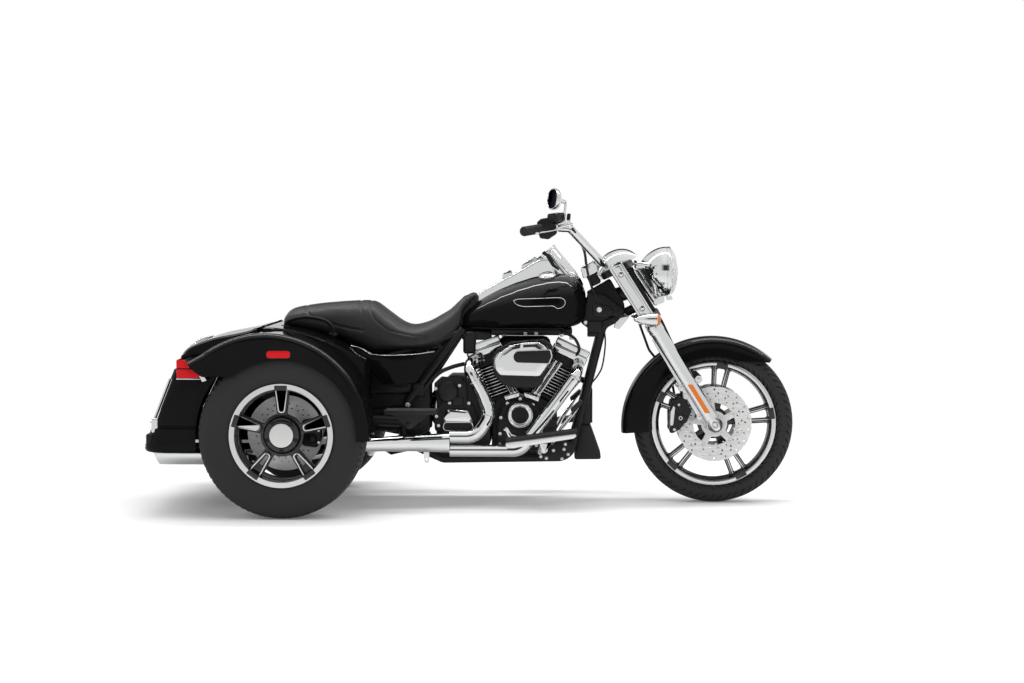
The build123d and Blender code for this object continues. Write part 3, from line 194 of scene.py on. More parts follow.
def surface(name, color, rough, metal, spread, tint, grain=60, bump=0.0, cells=False, crown=0.0, **sockets):
    """A material whose colour, roughness and height vary with noise of `grain` waves per metre.

    With crown, the clear coat's weight rises to that value where the surface faces up, a painted sheen that makes the
    tops reflect more light than the sides.
    """
    material = materials[name] = bpy.data.materials.new(name)
    tree = Tree(material, clear=False)
    shader = tree.nodes["Principled BSDF"]
    inputs = {socket.replace("_", " "): value for socket, value in sockets.items()}
    tree.join(shader, {"Metallic": metal, **inputs})
    if crown:
        # Painted sheen: the coat grows stronger on faces that point up, so the tops show brighter highlights.
        normal = tree.add("NewGeometry", {}).outputs["Normal"]
        up = tree.add("SeparateXYZ", {0: normal}).outputs["Z"]
        painted_top_sheen = {"From Min": 0.25, "From Max": 0.7, "To Min": sockets["Coat_Weight"], "To Max": crown, "Value": up}
        tree.join(shader, {"Coat Weight": tree.add("MapRange", painted_top_sheen).outputs["Result"]})
    place = tree.add("TexCoord", {}).outputs["Object"]
    broad = tree.add("TexNoise", {"Scale": 7, "Detail": 5, "Vector": place}).outputs["Fac"]
    dark = (*[c * (1 - tint) for c in color], 1)
    light = (*[min(1, c * (1 + tint) + tint * GREY_LIFT) for c in color], 1)
    mix = tree.add("Mix", {"A": dark, "B": light, "Factor": broad}, data_type="RGBA")
    wear = tree.add("MapRange", {"To Min": max(0.0, rough - spread), "To Max": rough + spread, "Value": broad})
    tree.join(shader, {"Base Color": mix.outputs["Result"], "Roughness": wear.outputs["Result"]})
    if bump:
        fine = tree.add("TexVoronoi" if cells else "TexNoise", {"Scale": grain, "Vector": place})
        height = fine.outputs["Distance" if cells else "Fac"]
        relief = tree.add("Bump", {"Strength": min(1.0, bump), "Distance": BUMP_DEPTH, "Height": height})
        tree.join(shader, {"Normal": relief.outputs["Normal"]})


coat = {"Specular_IOR_Level": 0.0, "Coat_Weight": 0.14, "Coat_Roughness": 0.035}
surfaces = [  # name, colour, roughness, metal, spread of the roughness, tint, grain and bump, then the rest
    # The paints' crown raises the clear coat on upward faces, a painted sheen on their tops.
    ("paint", (0.003, 0.003, 0.0034), 0.5, 0, 0.05, 0.2, 260, 0.012, {"crown": 0.85, **coat}),
    ("body_paint", (0.003, 0.003, 0.0034), 0.55, 0, 0.05, 0.25, 300, 0.02, {"crown": 0.7, **coat}),
    ("satin_black", (0.006, 0.006, 0.0064), 0.36, 0, 0.08, 0.3, 900, 0.1, {"Specular_IOR_Level": 0.2}),
    ("engine_black", (0.007, 0.007, 0.0074), 0.4, 0, 0.1, 0.3, 1500, 0.35, {"Specular_IOR_Level": 0.24}),
    ("wheel_black", (0.0045, 0.0045, 0.005), 0.12, 0, 0.05, 0.2, 500, 0.03, {}),
    ("chrome", (0.62, 0.625, 0.63), 0.045, 1, 0.02, 0.02, 220, 0.01, {}),
    ("machined", (0.58, 0.58, 0.575), 0.2, 1, 0.06, 0.04, 1800, 0.05, {}),
    ("polished", (0.6, 0.605, 0.61), 0.13, 1, 0.05, 0.03, 420, 0.03, {}),
    ("steel", (0.5, 0.5, 0.49), 0.24, 1, 0.08, 0.08, 1200, 0.06, {}),
    ("disc_steel", (0.6, 0.6, 0.595), 0.45, 0.4, 0.03, 0.03, 60, 0, {}),
    # A lighter, non-metal copy of the disc steel: painted light that lifts the rear discs out of the shade inside the
    # wheels.
    ("rear_disc_steel", (0.93, 0.93, 0.925), 0.5, 0, 0.03, 0.03, 60, 0, {}),
    ("tyre", (0.0125, 0.0125, 0.0127), 0.66, 0, 0.1, 0.3, 2600, 0.25, {"Specular_IOR_Level": 0.3}),
    ("rubber", (0.009, 0.009, 0.009), 0.55, 0, 0.1, 0.25, 2000, 0.2, {"Specular_IOR_Level": 0.3}),
    ("plastic", (0.008, 0.008, 0.0084), 0.45, 0, 0.08, 0.25, 1400, 0.15, {"Specular_IOR_Level": 0.25}),
    ("leather", (0.01, 0.01, 0.0103), 0.42, 0, 0.08, 0.3, 520, 0.3, {"cells": True, "Specular_IOR_Level": 0.36}),
    ("amber", (0.6, 0.15, 0.003), 0.2, 0, 0.04, 0.08, 700, 0.25, {"cells": True}),
    ("red", (0.52, 0.0015, 0.006), 0.16, 0, 0.04, 0.08, 520, 0.25, {"cells": True, "Specular_IOR_Level": 0.22}),
    ("glass", (0.86, 0.88, 0.89), 0.02, 0, 0.01, 0, 60, 0, {"Transmission_Weight": 0.45, "IOR": 1.45}),
    ("white_paint", (0.75, 0.75, 0.73), 0.4, 0, 0.05, 0.04, 900, 0.1, {}),
    # A dim mirror with dark edges: a painted dark reflection, where a real mirror glass would reflect brightly.
    ("dark_mirror", (0.3, 0.3, 0.31), 0.03, 1, 0.01, 0.05, 60, 0, {"Specular_Tint": (0, 0, 0, 1)}),
]
for *values, rest in surfaces:
    surface(*values, **rest)

# ---------------------------------------------------------------- shapes


def rounded(points, radius, closed=False, step=14):
    """Round the corners of a line of 2-D or 3-D points; radius is one number or one for each point."""
    points = [Vector(p) for p in points]
    count = len(points)
    radii = radius if isinstance(radius, (list, tuple)) else [radius] * count
    line = []
    for i, corner in enumerate(points):
        to_back = points[i - 1] - corner
        to_next = points[(i + 1) % count] - corner
        inner = closed or 0 < i < count - 1
        turn = to_back.angle(to_next, math.pi) if inner and radii[i] > 0 else math.pi
        if turn > math.pi - 0.02:
            line.append(corner)
            continue
        reach = min(radii[i] / math.tan(turn / 2), 0.49 * to_back.length, 0.49 * to_next.length)
        back, ahead = to_back.normalized(), to_next.normalized()
        arc_radius = reach * math.tan(turn / 2)
        middle = corner + (back + ahead).normalized() * (arc_radius / math.sin(turn / 2))
        first, last = corner + back * reach - middle, corner + ahead * reach - middle
        sweep = math.pi - turn
        count_here = max(2, round(math.degrees(sweep) / step))
        for k in range(count_here + 1):
            share = k / count_here
            ray = first * math.sin((1 - share) * sweep) + last * math.sin(share * sweep)
            line.append(middle + ray / math.sin(sweep))
    return line


def smooth_line(points, per_span=6):
    """Catmull-Rom curve through the points, which ends at the first and the last."""
    points = [Vector(p) for p in points]
    padded = [2 * points[0] - points[1], *points, 2 * points[-1] - points[-2]]
    line = []
    for a, b, c, d in zip(padded, padded[1:], padded[2:], padded[3:]):
        for k in range(per_span):
            t = k / per_span
            square, cube = 2 * a - 5 * b + 4 * c - d, 3 * b - a - 3 * c + d
            line.append(0.5 * (2 * b + (c - a) * t + square * t * t + cube * t**3))
    return [*line, points[-1]]


def circle(x, z, radius, steps=32):
    turns = [2 * math.pi * k / steps for k in range(steps)]
    return [(x + radius * math.cos(turn), z + radius * math.sin(turn)) for turn in turns]


def swollen(turn, power):
    """Cosine and sine at a turn, drawn out towards a square as power falls from 1."""
    c, s = math.cos(turn), math.sin(turn)
    return math.copysign(abs(c) ** power, c), math.copysign(abs(s) ** power, s)


def plane_frame(origin, x, y):
    """A matrix with the given local X and Y directions."""
    x, y = Vector(x).normalized(), Vector(y).normalized()
    matrix = Matrix((x, y, x.cross(y))).transposed().to_4x4()
    matrix.translation = Vector(origin)
    return matrix


def frame_along(origin, axis, hint=Z):
    """A matrix whose local Z runs along the axis."""
    z = Vector(axis).normalized()
    x = Vector(hint).cross(z)
    if x.length < 1e-4:
        x = Vector(X).cross(z)
    return plane_frame(origin, x, z.cross(x))


side_view = plane_frame((0, 0, 0), X, Z)  # local Z points to the rider's right


class Shape:
    """A mesh put together from surfaces, in millimetres."""

    def __init__(self):
        self.verts = []
        self.faces = []

    def add(self, verts, faces):
        start = len(self.verts)
        self.verts += [tuple(v) for v in verts]
        self.faces += [tuple(start + i for i in face) for face in faces]
        return self

    def grid(self, rows, ring=False, loop=False, caps=False):
        """Quads between rows of points; ring joins each row's ends, loop joins the last row to the first."""
        count = len(rows[0])
        faces = []
        for r in range(len(rows) if loop else len(rows) - 1):
            below, above = r * count, (r + 1) % len(rows) * count
            for c in range(count if ring else count - 1):
                d = (c + 1) % count
                faces.append((below + c, below + d, above + d, above + c))
        if caps:
            faces.append(tuple(range(count))[::-1])
            faces.append(tuple((len(rows) - 1) * count + c for c in range(count)))
        return self.add([p for row in rows for p in row], faces)

    def lathe(self, profile, origin, axis, steps=64):
        """Turn a profile of (along, out) points about an axis."""
        matrix = frame_along(origin, axis)
        rows = []
        for c, s in circle(0, 0, 1, steps):
            rows.append([matrix @ Vector((out * c, out * s, along)) for along, out in profile])
        return self.grid(rows, loop=True)

    def pipe(self, points, radius, bend=0.0, sides=20, squash=1.0):
        """A round bar along a line with rounded corners; radius may be a function of the share of its length."""
        line = rounded(points, bend) if bend else [Vector(p) for p in points]
        lengths = [0.0]
        for a, b in zip(line, line[1:]):
            lengths.append(lengths[-1] + (b - a).length)
        way = (line[1] - line[0]).normalized()
        normal = Vector(Z).cross(way)
        if normal.length < 1e-3:
            normal = Vector(X).cross(way)
        normal.normalize()
        rows = []
        for i, point in enumerate(line):
            before = (line[i] - line[i - 1]).normalized() if i else way
            after = (line[i + 1] - line[i]).normalized() if i < len(line) - 1 else before
            tangent = (before + after).normalized()
            normal = (normal - tangent * normal.dot(tangent)).normalized()
            other = tangent.cross(normal)
            size = radius(lengths[i] / lengths[-1]) if callable(radius) else radius
            rows.append([point + normal * c + other * squash * s for c, s in circle(0, 0, size, sides)])
        return self.grid(rows, ring=True, caps=True)

    def plate(self, outlines, low, high, bevel=1.0, matrix=None, rounds=2, at=(0, 0)):
        """A flat plate from outlines of (x, y) points, the first the outside and the others holes.

        It lies between two levels of the matrix's Z, or of Y in the side view when no matrix is given.
        """
        if matrix is None:
            matrix, low, high = side_view, -low, -high
        curve = bpy.data.curves.new("plate", "CURVE")
        curve.dimensions = "2D"
        curve.fill_mode = "BOTH"
        curve.extrude = (abs(high - low) / 2 - bevel) * MM
        curve.bevel_depth = bevel * MM
        curve.bevel_resolution = rounds
        curve.offset = -bevel * MM
        for number, outline in enumerate(outlines):
            flat = [(p[0] + at[0], p[1] + at[1]) for p in outline]
            area = sum(a[0] * b[1] - b[0] * a[1] for a, b in zip(flat, flat[1:] + flat[:1]))
            if (area > 0) != (number == 0):
                flat.reverse()
            spline = curve.splines.new("POLY")
            spline.points.add(len(flat) - 1)
            for point, (x, y) in zip(spline.points, flat):
                point.co = (x * MM, y * MM, 0, 1)
            spline.use_cyclic_u = True
        holder = bpy.data.objects.new("plate", curve)
        mesh = bpy.data.meshes.new_from_object(holder)
        middle = Vector((0, 0, (low + high) / 2))
        self.add([matrix @ (v.co / MM + middle) for v in mesh.vertices], [p.vertices for p in mesh.polygons])
        bpy.data.objects.remove(holder)
        bpy.data.curves.remove(curve)
        bpy.data.meshes.remove(mesh)
        return self

    def panel(self, points, radius, low, high, bevel=1.0, matrix=None, rounds=2, at=(0, 0)):
        """A plate of one outline whose corners are rounded."""
        return self.plate([rounded(points, radius, closed=True)], low, high, bevel, matrix, rounds, at)

    def block(self, low, high, bevel=2.0):
        """A box with rounded edges."""
        outline = [(low[0], low[2]), (high[0], low[2]), (high[0], high[2]), (low[0], high[2])]
        return self.plate([rounded(outline, bevel, closed=True, step=30)], low[1], high[1], bevel)

    def bolt(self, point, axis, radius, height=5.0):
        """A round screw head with a recess."""
        shares = [(0.75, 1), (1, 0.84), (1, 0.5), (0.45, 0.46), (0.45, 0)]
        profile = [(-1, radius)] + [(along * height, out * radius) for along, out in shares]
        return self.lathe(profile, point, axis, 18)

    def hexagon(self, point, axis, radius, height=6.0):
        """A six-sided head with a chamfered top and a washer under it."""
        self.lathe([(-1, 1.25 * radius), (1.2, 1.25 * radius), (1.2, 0)], point, axis, 24)
        return self.lathe([(1, radius), (0.85 * height, radius), (height, 0.82 * radius), (height, 0)], point, axis, 6)

    def mirrored(self):
        """The same shape on the other side as well."""
        return self.add([(x, -y, z) for x, y, z in self.verts], [face[::-1] for face in self.faces])

    def piece(self, name, material, body="root", stands_for=None, slot=None, sharp=40):
        """Make the object, weld its seams and put it on its body."""
        mesh = bpy.data.meshes.new(name)
        mesh.from_pydata([(x * MM, y * MM, z * MM) for x, y, z in self.verts], [], self.faces)
        work = bmesh.new()
        work.from_mesh(mesh)
        bmesh.ops.remove_doubles(work, verts=work.verts, dist=2e-6)
        bmesh.ops.dissolve_degenerate(work, edges=work.edges, dist=1e-7)
        loose = [v for v in work.verts if not v.link_faces]
        bmesh.ops.delete(work, geom=loose, context="VERTS")
        bmesh.ops.recalc_face_normals(work, faces=work.faces)
        work.to_mesh(mesh)
        work.free()
        obj = place_new(name, mesh)
        mesh.materials.append(materials[material])
        shade(obj, sharp)
        if body:
            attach(obj, body)
        if stands_for:
            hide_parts(stands_for)
        return obj


def shade(obj, sharp):
    obj.data.shade_smooth()
    obj.data.set_sharp_from_angle(angle=math.radians(sharp))


def apply_modifiers(obj):
    graph = bpy.context.evaluated_depsgraph_get()
    old = obj.data
    obj.data = bpy.data.meshes.new_from_object(obj.evaluated_get(graph))
    obj.modifiers.clear()
    bpy.data.meshes.remove(old)


def solidify(obj, thickness):
    """Give an open skin a thickness in millimetres, measured inwards."""
    modifier = obj.modifiers.new("thick", "SOLIDIFY")
    modifier.thickness = thickness * MM
    modifier.offset = -1
    apply_modifiers(obj)
    shade(obj, 35)


def box(node):
    """The node's low and high corners in millimetres."""
    low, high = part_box(node)
    return low / MM, high / MM


def middle(node):
    low, high = box(node)
    return (low + high) / 2


def lerp_table(table, x):
    """Read a row of values at x from a table of (x, value, ...) rows."""
    xs = [row[0] for row in table]
    return [float(np.interp(x, xs, column)) for column in list(zip(*table))[1:]]


# ---------------------------------------------------------------- places taken from the frame

front_hub, rear_hub = middle("front_axle"), middle("rear_wheel_right")
front_x, front_z = FRONT = front_hub.xz
rear_x, rear_z = REAR = rear_hub.xz
wheel_y = 560
rake, fork_lean = math.radians(26), math.radians(32)
foot_x = front_x + 99  # where the steering axis meets the ground
engine_x = rear_x + 895
leg_y = 120


def leaning(origin, lean):
    """A function that gives points along a leaning axis from its origin, ahead of it and aside."""
    x, z = origin

    def point(along, ahead=0.0, y=0.0):
        c, s = math.cos(lean), math.sin(lean)
        return Vector((x - along * s + ahead * c, y, z + along * c + ahead * s))

    up, forward = Vector((-math.sin(lean), 0, math.cos(lean))), Vector((math.cos(lean), 0, math.sin(lean)))
    return point, up, forward, plane_frame(point(0), forward, up)


fork, fork_up, _, fork_side = leaning(FRONT, fork_lean)
steer, steering_up, steering_ahead, steering_side = leaning((foot_x, 0), rake)

# ---------------------------------------------------------------- tyres

TREAD_HALF = 103  # millimetres that a share of 1 is across the rear tyre


def groove(distance, half_width, depth):
    """Depth of a groove at a distance from its middle line."""
    return depth * np.clip(1.6 * (1 - np.abs(distance) / half_width), 0, 1)


def band(value, low, high, soft):
    """1 between low and high, falling to 0 over soft."""
    return np.clip((value - low) / soft + 1, 0, 1) * np.clip((high - value) / soft + 1, 0, 1)


def gap_to_groove(angle, pitch, out):
    """Distance round the tyre to the nearest of the grooves that repeat at each pitch."""
    apart = angle % pitch
    return np.minimum(apart, pitch - apart) * math.pi / 180 * out


def cruiser_tread(angle, share, out):
    """Long curved grooves that sweep from near the middle to the shoulder, with short ones between."""
    half_turn = np.where(share < 0, 0.5, 0.0)
    share = np.abs(share)
    depth = np.zeros_like(share)
    pitch = 12.0
    for low, high, phase in ((0.14, 0.95, 0.0), (0.5, 0.93, 0.5)):
        apart = gap_to_groove(angle - 13 * share**1.4 - pitch * (half_turn + phase), pitch, out)
        depth = np.maximum(depth, groove(apart, 5.0, 6.5) * band(share, low, high, 0.03))
    return depth


def road_tread(angle, share, out):
    """Rings of grooves round the tyre and lugs on its shoulders."""
    half_turn = np.where(share < 0, 0.5, 0.0)
    share = np.abs(share)
    depth = np.zeros_like(share)
    for ring in (0.2, 0.56):
        depth = np.maximum(depth, groove((share - ring) * TREAD_HALF, 4.6, 6.0))
    pitch = 4.5
    for low, high, lean, phase, wide in ((0.6, 0.9, 4, 0.0, 3.8), (0.24, 0.5, -6, 0.5, 2.6)):
        apart = gap_to_groove(angle - lean * share + pitch * (half_turn - phase), pitch, out)
        depth = np.maximum(depth, groove(apart, wide, 5.5) * band(share, low, high, 0.02) * (out > 300))
    return depth


def tyre(name, node, body, rim, section, tread, steps=480):
    """A tyre from a section of (share across, share of the way down to the rim) points, cut by its tread."""
    low, high = box(node)
    centre = (low + high) / 2
    width, radius = (high.y - low.y) / 2, (high.z - low.z) / 2
    profile = smooth_line([(share * width, radius - drop * (radius - rim)) for share, drop in section], 3)
    line = np.array([(-p.x, p.y) for p in profile[:0:-1]] + [tuple(p) for p in profile])
    slope = np.stack([np.gradient(line[:, 0]), np.gradient(line[:, 1])])
    slope /= np.hypot(*slope)
    if slope[0][len(line) // 2] > 0:
        slope = -slope
    angle, across = np.meshgrid(np.arange(steps) * 360 / steps, line[:, 0], indexing="ij")
    out = np.broadcast_to(line[:, 1], across.shape)
    depth = tread(angle, across / width, out)
    out, across, turn = out + depth * slope[0], across - depth * slope[1], np.radians(angle)
    points = (centre.x + out * np.cos(turn), centre.y + across, centre.z + out * np.sin(turn))
    return Shape().grid(np.stack(points, axis=-1).tolist(), loop=True).piece(name, "tyre", body, node, "tyre", 48)


front_section = [
    (0.0, 0.0), (0.14, 0.004), (0.28, 0.018), (0.42, 0.042), (0.55, 0.078), (0.67, 0.125), (0.78, 0.19),
    (0.87, 0.27), (0.94, 0.38), (0.98, 0.5), (1.0, 0.6), (0.985, 0.72), (0.93, 0.84), (0.82, 0.93),
    (0.72, 0.975), (0.65, 1.0), (0.638, 1.08),
]
rear_section = [
    (0.0, 0.0), (0.1, 0.001), (0.2, 0.002), (0.3, 0.004), (0.4, 0.007), (0.5, 0.012), (0.6, 0.018), (0.7, 0.03),
    (0.78, 0.045), (0.86, 0.075), (0.92, 0.12), (0.96, 0.18), (0.985, 0.26), (1.0, 0.4), (0.99, 0.55),
    (0.955, 0.7), (0.9, 0.83), (0.85, 0.93), (0.815, 0.985), (0.8, 1.0), (0.797, 1.06),
]
tyre("front_tyre_tread", "front_tyre", "front_wheel", 250, front_section, cruiser_tread)
for name in ("right", "left"):
    tyre(f"rear_tyre_{name}_tread", f"rear_tyre_{name}", f"rear_wheel_{name}", 198, rear_section, road_tread)

# ---------------------------------------------------------------- wheels


def polar(radius, aside, angle):
    """A side-view point out along a spoke at an angle, and aside from it."""
    turn = math.radians(angle)
    return (radius * math.cos(turn) - aside * math.sin(turn), radius * math.sin(turn) + aside * math.cos(turn))


def ring_arc(radius, start, end, step=4.0):
    """Points round a circle from one angle to another."""
    count = max(2, round(abs(end - start) / step))
    return [polar(radius, 0, start + (end - start) * k / count) for k in range(count + 1)]


def across_spoke(angle, near, far):
    """A four-sided outline along a spoke; near and far are each a radius and a half width."""
    (inner, narrow), (outer, wide) = near, far
    ends = ((inner, -narrow), (outer, -wide), (outer, wide), (inner, narrow))
    return [polar(radius, aside, angle) for radius, aside in ends]


def window(inner, outer, angle, flank, corner):
    """A window from a spoke at an angle to the next one, whose flanks lie flank(radius) aside of them."""
    out_turn, in_turn = (math.degrees(math.asin(flank(radius) / radius)) for radius in (outer, inner))
    last = angle + 72
    outside = ring_arc(outer, angle + out_turn, last - out_turn)
    inside = ring_arc(inner, last - in_turn, angle + in_turn)
    radii = [corner] + [0] * (len(outside) - 2) + [corner]
    radii += [corner / 2] + [0] * (len(inside) - 2) + [corner / 2]
    return rounded(outside + inside, radii, closed=True)


def spokes(first, turn=72):
    return [first + turn * k for k in range(round(360 / turn))]


def front_wheel():
    centre, angles = (front_x, 0, front_z), spokes(81.7)
    black, bright, holes = Shape(), Shape(), []

    def arm_middle(radius):
        return 20 + (radius - 156) * 7 / 60

    for angle in angles:
        holes.append(window(64, 219, angle, lambda r: arm_middle(r) + 10, 16))
        slot = across_spoke(angle, (86, 3), (218, arm_middle(218) - 10))
        holes.append(rounded(slot, [2, 8, 8, 2], closed=True))
        black.panel(across_spoke(angle, (222, 23), (246, 23)), 3, 20, 53, 1.5, at=FRONT)
        # A wide and a narrow machined line down each arm
        for arm in sides:
            for line, half in ((-3.6, 2.2), (3.8, 0.8)):
                ends = ((88, -half), (228, -half), (228, half), (88, half))
                strip = [polar(radius, arm * (arm_middle(radius) + line) + wide, angle) for radius, wide in ends]
                bright.plate([strip], 15.5, 18.2, 0.6, rounds=1, at=FRONT)
    black.mirrored().plate([circle(0, 0, 230, 120), *holes], -17, 17, 3.5, at=FRONT)
    barrel = [(-49, 230), (-44, 228), (-30, 223), (-16, 220), (16, 220), (30, 223), (44, 228), (49, 230)]
    black.lathe([*barrel, (49, 236), (-49, 236), (-49, 230)], centre, Y, 128)
    black.lathe([(-61, 20), (-61, 36), (-56, 40), (-30, 44), (30, 44), (56, 40), (61, 36), (61, 20)], centre, Y, 64)
    black.piece("front_wheel_casting", "wheel_black", "front_wheel", "front_rim", "black_wheel")
    lip = [(46, 232), (50.4, 232.6), (51, 234), (51, 248.6), (49.5, 250.4), (46, 250.4), (43, 246)]
    bright.lathe(lip, centre, Y, 144).mirrored()
    bright.piece("front_wheel_bright_edges", "machined", "front_wheel", None, "polished_steel")


def front_discs():
    body, holes, outline = Shape(), [circle(0, 0, 30, 40)], []
    for radius, phase, size in ((98, 0, 3.0), (111, 7, 3.7), (124, 3, 3.7), (138, 10, 3.7)):
        holes += [circle(*polar(radius, 0, angle), size, 12) for angle in spokes(phase, 20)]
    holes += [window(52, 84, angle, lambda r: 13, 7) for angle in spokes(99)]
    for angle in spokes(0, 18):
        outline += ring_arc(150, angle, angle + 12.5) + ring_arc(148.4, angle + 13.5, angle + 17, 3)
    body.plate([outline, *holes], 77.5, 82.5, 0.7, rounds=1, at=FRONT)
    carrier = [(0, 20), (0, 50), (14, 46), (15.5, 40), (21.5, 40), (21.5, 20)]
    body.lathe(carrier, (front_x, 62, front_z), Y, 64)
    for first, turn, radius, y, size, height in ((99, 36, 90, 82, 6.5, 4), (63, 72, 36, 83, 5.5, 5)):
        for x, z in (polar(radius, 0, angle) for angle in spokes(first, turn)):
            body.bolt((front_x + x, y, front_z + z), Y, size, height)
    body.mirrored().piece("front_brake_discs", "disc_steel", "front_wheel", None, "polished_steel")


def spoke_loop(angle, grow):
    """The long U of a rear spoke, drawn wider by grow."""
    corners = across_spoke(angle, (88 - grow, 10 + grow), (188, 23 + grow))
    return rounded(corners, [9 + grow, 0, 0, 9 + grow], closed=True)


def rear_wheel(name, side):
    hub, axis, body = Vector((rear_x, side * wheel_y, rear_z)), (0, side, 0), f"rear_wheel_{name}"
    black, bright, disc, caps = Shape(), Shape(), Shape(), Shape()
    angles = spokes(90)

    def across(low, high):
        return side * (wheel_y + low), side * (wheel_y + high)

    holes = [window(82, 170, angle, lambda r: 12 + r * 0.1, 12) for angle in angles]
    for angle in angles:
        slot = across_spoke(angle, (97, 5), (140, 7.5))
        holes.append(rounded(slot, [4.5, 6, 6, 4.5], closed=True))
        black.plate([spoke_loop(angle, 5), spoke_loop(angle, -4)], *across(34, 62), 2, at=REAR)
        black.panel(across_spoke(angle, (172, 24), (191, 24)), 3, *across(50, 92.8), 1.5, at=REAR)
        bright.plate([spoke_loop(angle, 2.6), spoke_loop(angle, -2.2)], *across(60, 64.5), 0.9, rounds=1, at=REAR)
        x, z = polar(58, 0, angle + 36)
        caps.hexagon((rear_x + x, hub.y + side * 70, rear_z + z), axis, 6.5, 7)
    black.plate([circle(0, 0, 176, 120), *holes], *across(26, 46), 3, at=REAR)
    barrel = [(-88, 180), (-60, 170), (30, 168), (44, 172), (86, 178), (88, 184), (-88, 184), (-88, 180)]
    centre = [(-59, 24), (-59, 62), (20, 62), (34, 74), (58, 71), (66, 66), (70, 60), (70, 49), (66, 49)]
    black.lathe(barrel, hub, axis, 128).lathe(centre, hub, axis, 96)
    black.piece(f"{body}_casting", "wheel_black", body, body, "black_wheel")
    lip = [(84, 175.4), (89, 176), (90.6, 177.5), (90.6, 197), (89, 198.4), (85, 198.4), (82, 194)]
    cap = [(60, 48), (74, 47.5), (77, 45), (77.8, 30), (78.2, 0)]
    bright.lathe(lip, hub, axis, 144).lathe(cap, hub, axis, 96)
    bright.piece(f"{body}_bright_edges", "machined", body, None, "polished_steel")
    holes = [circle(*polar(r, 0, angle), 3, 12) for r, phase in ((96, 0), (112, 7)) for angle in spokes(phase, 15)]
    rings = [circle(0, 0, 145, 96), circle(0, 0, 34, 48)]
    disc.plate([*rings, *holes], *across(-66, -60), 0.8, rounds=1, at=REAR)
    # The rear disc carries the lightened copy of the disc steel, painted light against the wheel's shade.
    disc.piece(f"{body}_disc", "rear_disc_steel", body, None, "polished_steel")
    caps.piece(f"{body}_nuts", "satin_black", body, None, "black_wheel")


front_wheel()
front_discs()
rear_wheel("right", -1)
rear_wheel("left", 1)

# ---------------------------------------------------------------- fork, trees and their covers

lower_tree, upper_tree = 829, 1057


def fork_legs():
    legs, fittings, glow, axle = Shape(), Shape(), Shape(), Shape()
    base, hub = fork(0, 0, leg_y), (front_x, 0, front_z)
    slider = [(-30, 0), (-33, 10), (-31, 22), (-22, 29), (-6, 30.5), (60, 30.5), (300, 30.3), (428, 30.3)]
    legs.lathe([*slider, (436, 32.2), (440, 33), (462, 33), (466, 32), (470, 28.5), (471, 25.5)], base, fork_up, 56)
    legs.lathe([(471, 24.8), (490, 24.5), (742, 24.5), (745, 22), (745, 0)], base, fork_up, 40)
    strip = [(-42, 64), (-24, 64), (-24, 404), (-33, 404)]
    legs.panel(strip, 3, 12 - leg_y, -12 - leg_y, 2, fork_side)
    legs.lathe([(90, 17), (90, 22), (94, 25), (120, 26), (148, 33), (150.4, 32), (151.4, 30)], hub, Y, 40)
    legs.mirrored().piece("fork_sliders", "chrome", "front_end", "fork_legs", "chrome")
    for back, up, size in ((-36, 196, 9), (-37, 158, 8), (-36, 58, 9), (40, 188, 10)):
        point = fork(up, back, leg_y - 4)
        fittings.lathe([(0, size + 5), (16, size + 5), (18, size + 3), (18, 0)], point, Y, 24)
        fittings.bolt(point + Vector((0, 18, 0)), Y, size - 1, 4)
    rib = [(-39, 40), (-33, 44), (-26, 60), (-26, 205), (-34, 212), (-45, 208), (-47, 196), (-40, 180), (-45, 160)]
    rib += [(-38, 140), (-33, 80), (-45, 60)]
    fittings.panel(rib, 4, 10 - leg_y, -8 - leg_y, 2, fork_side)
    fittings.mirrored().piece("fork_lugs", "polished", "front_end", None, "polished_steel")
    glow.panel([(-9, 62), (9, 52), (9, 186), (-9, 196)], 2, -27 - leg_y, -32.5 - leg_y, 1.2, fork_side)
    glow.mirrored().piece("fork_reflectors", "amber", "front_end")
    nose = [(0, 12), (153, 12), (153.4, 15), (156.6, 15), (157.4, 13.5), (157.4, 9.5), (140, 9), (140, 0)]
    axle.lathe(nose, hub, Y, 40).mirrored()
    axle.piece("front_axle_ends", "steel", "front_end", "front_axle", "polished_steel")


def fork_covers():
    covers, dark, outer = Shape(), Shape(), -166
    outline = [(-29, 490), (22, 484), (26, 500), (26, 745), (20, 757), (-22, 754), (-31, 744)]
    covers.panel(outline, 7, -154, outer, 2.5, fork_side)
    panel = [(-15, 500), (13, 500), (13, 742), (-15, 742)]
    covers.panel(panel, 5, outer, outer - 1.8, 0.8, fork_side, 1)
    for edge in (-21, 19):
        line = [(edge - 0.9, 502), (edge + 0.9, 502), (edge + 0.9, 744), (edge - 0.9, 744)]
        dark.plate([line], outer + 2, outer - 0.35, 0.1, fork_side, 0)
    for up in (548, 706):
        point = fork(up, -1, -outer)
        cap = [(0, 14), (3.2, 14), (4.6, 12.6), (3.4, 10.5), (3.4, 8), (4.4, 6), (4.4, 0)]
        covers.lathe(cap, point, Y, 40)
        dark.lathe([(3.4, 10.4), (3.7, 10.2), (3.7, 8.6), (3.4, 8.4)], point, Y, 36)
    covers.mirrored().piece("fork_side_covers", "chrome", "front_end", "fork_covers", "chrome")
    dark.mirrored().piece("fork_cover_lines", "satin_black", "front_end")


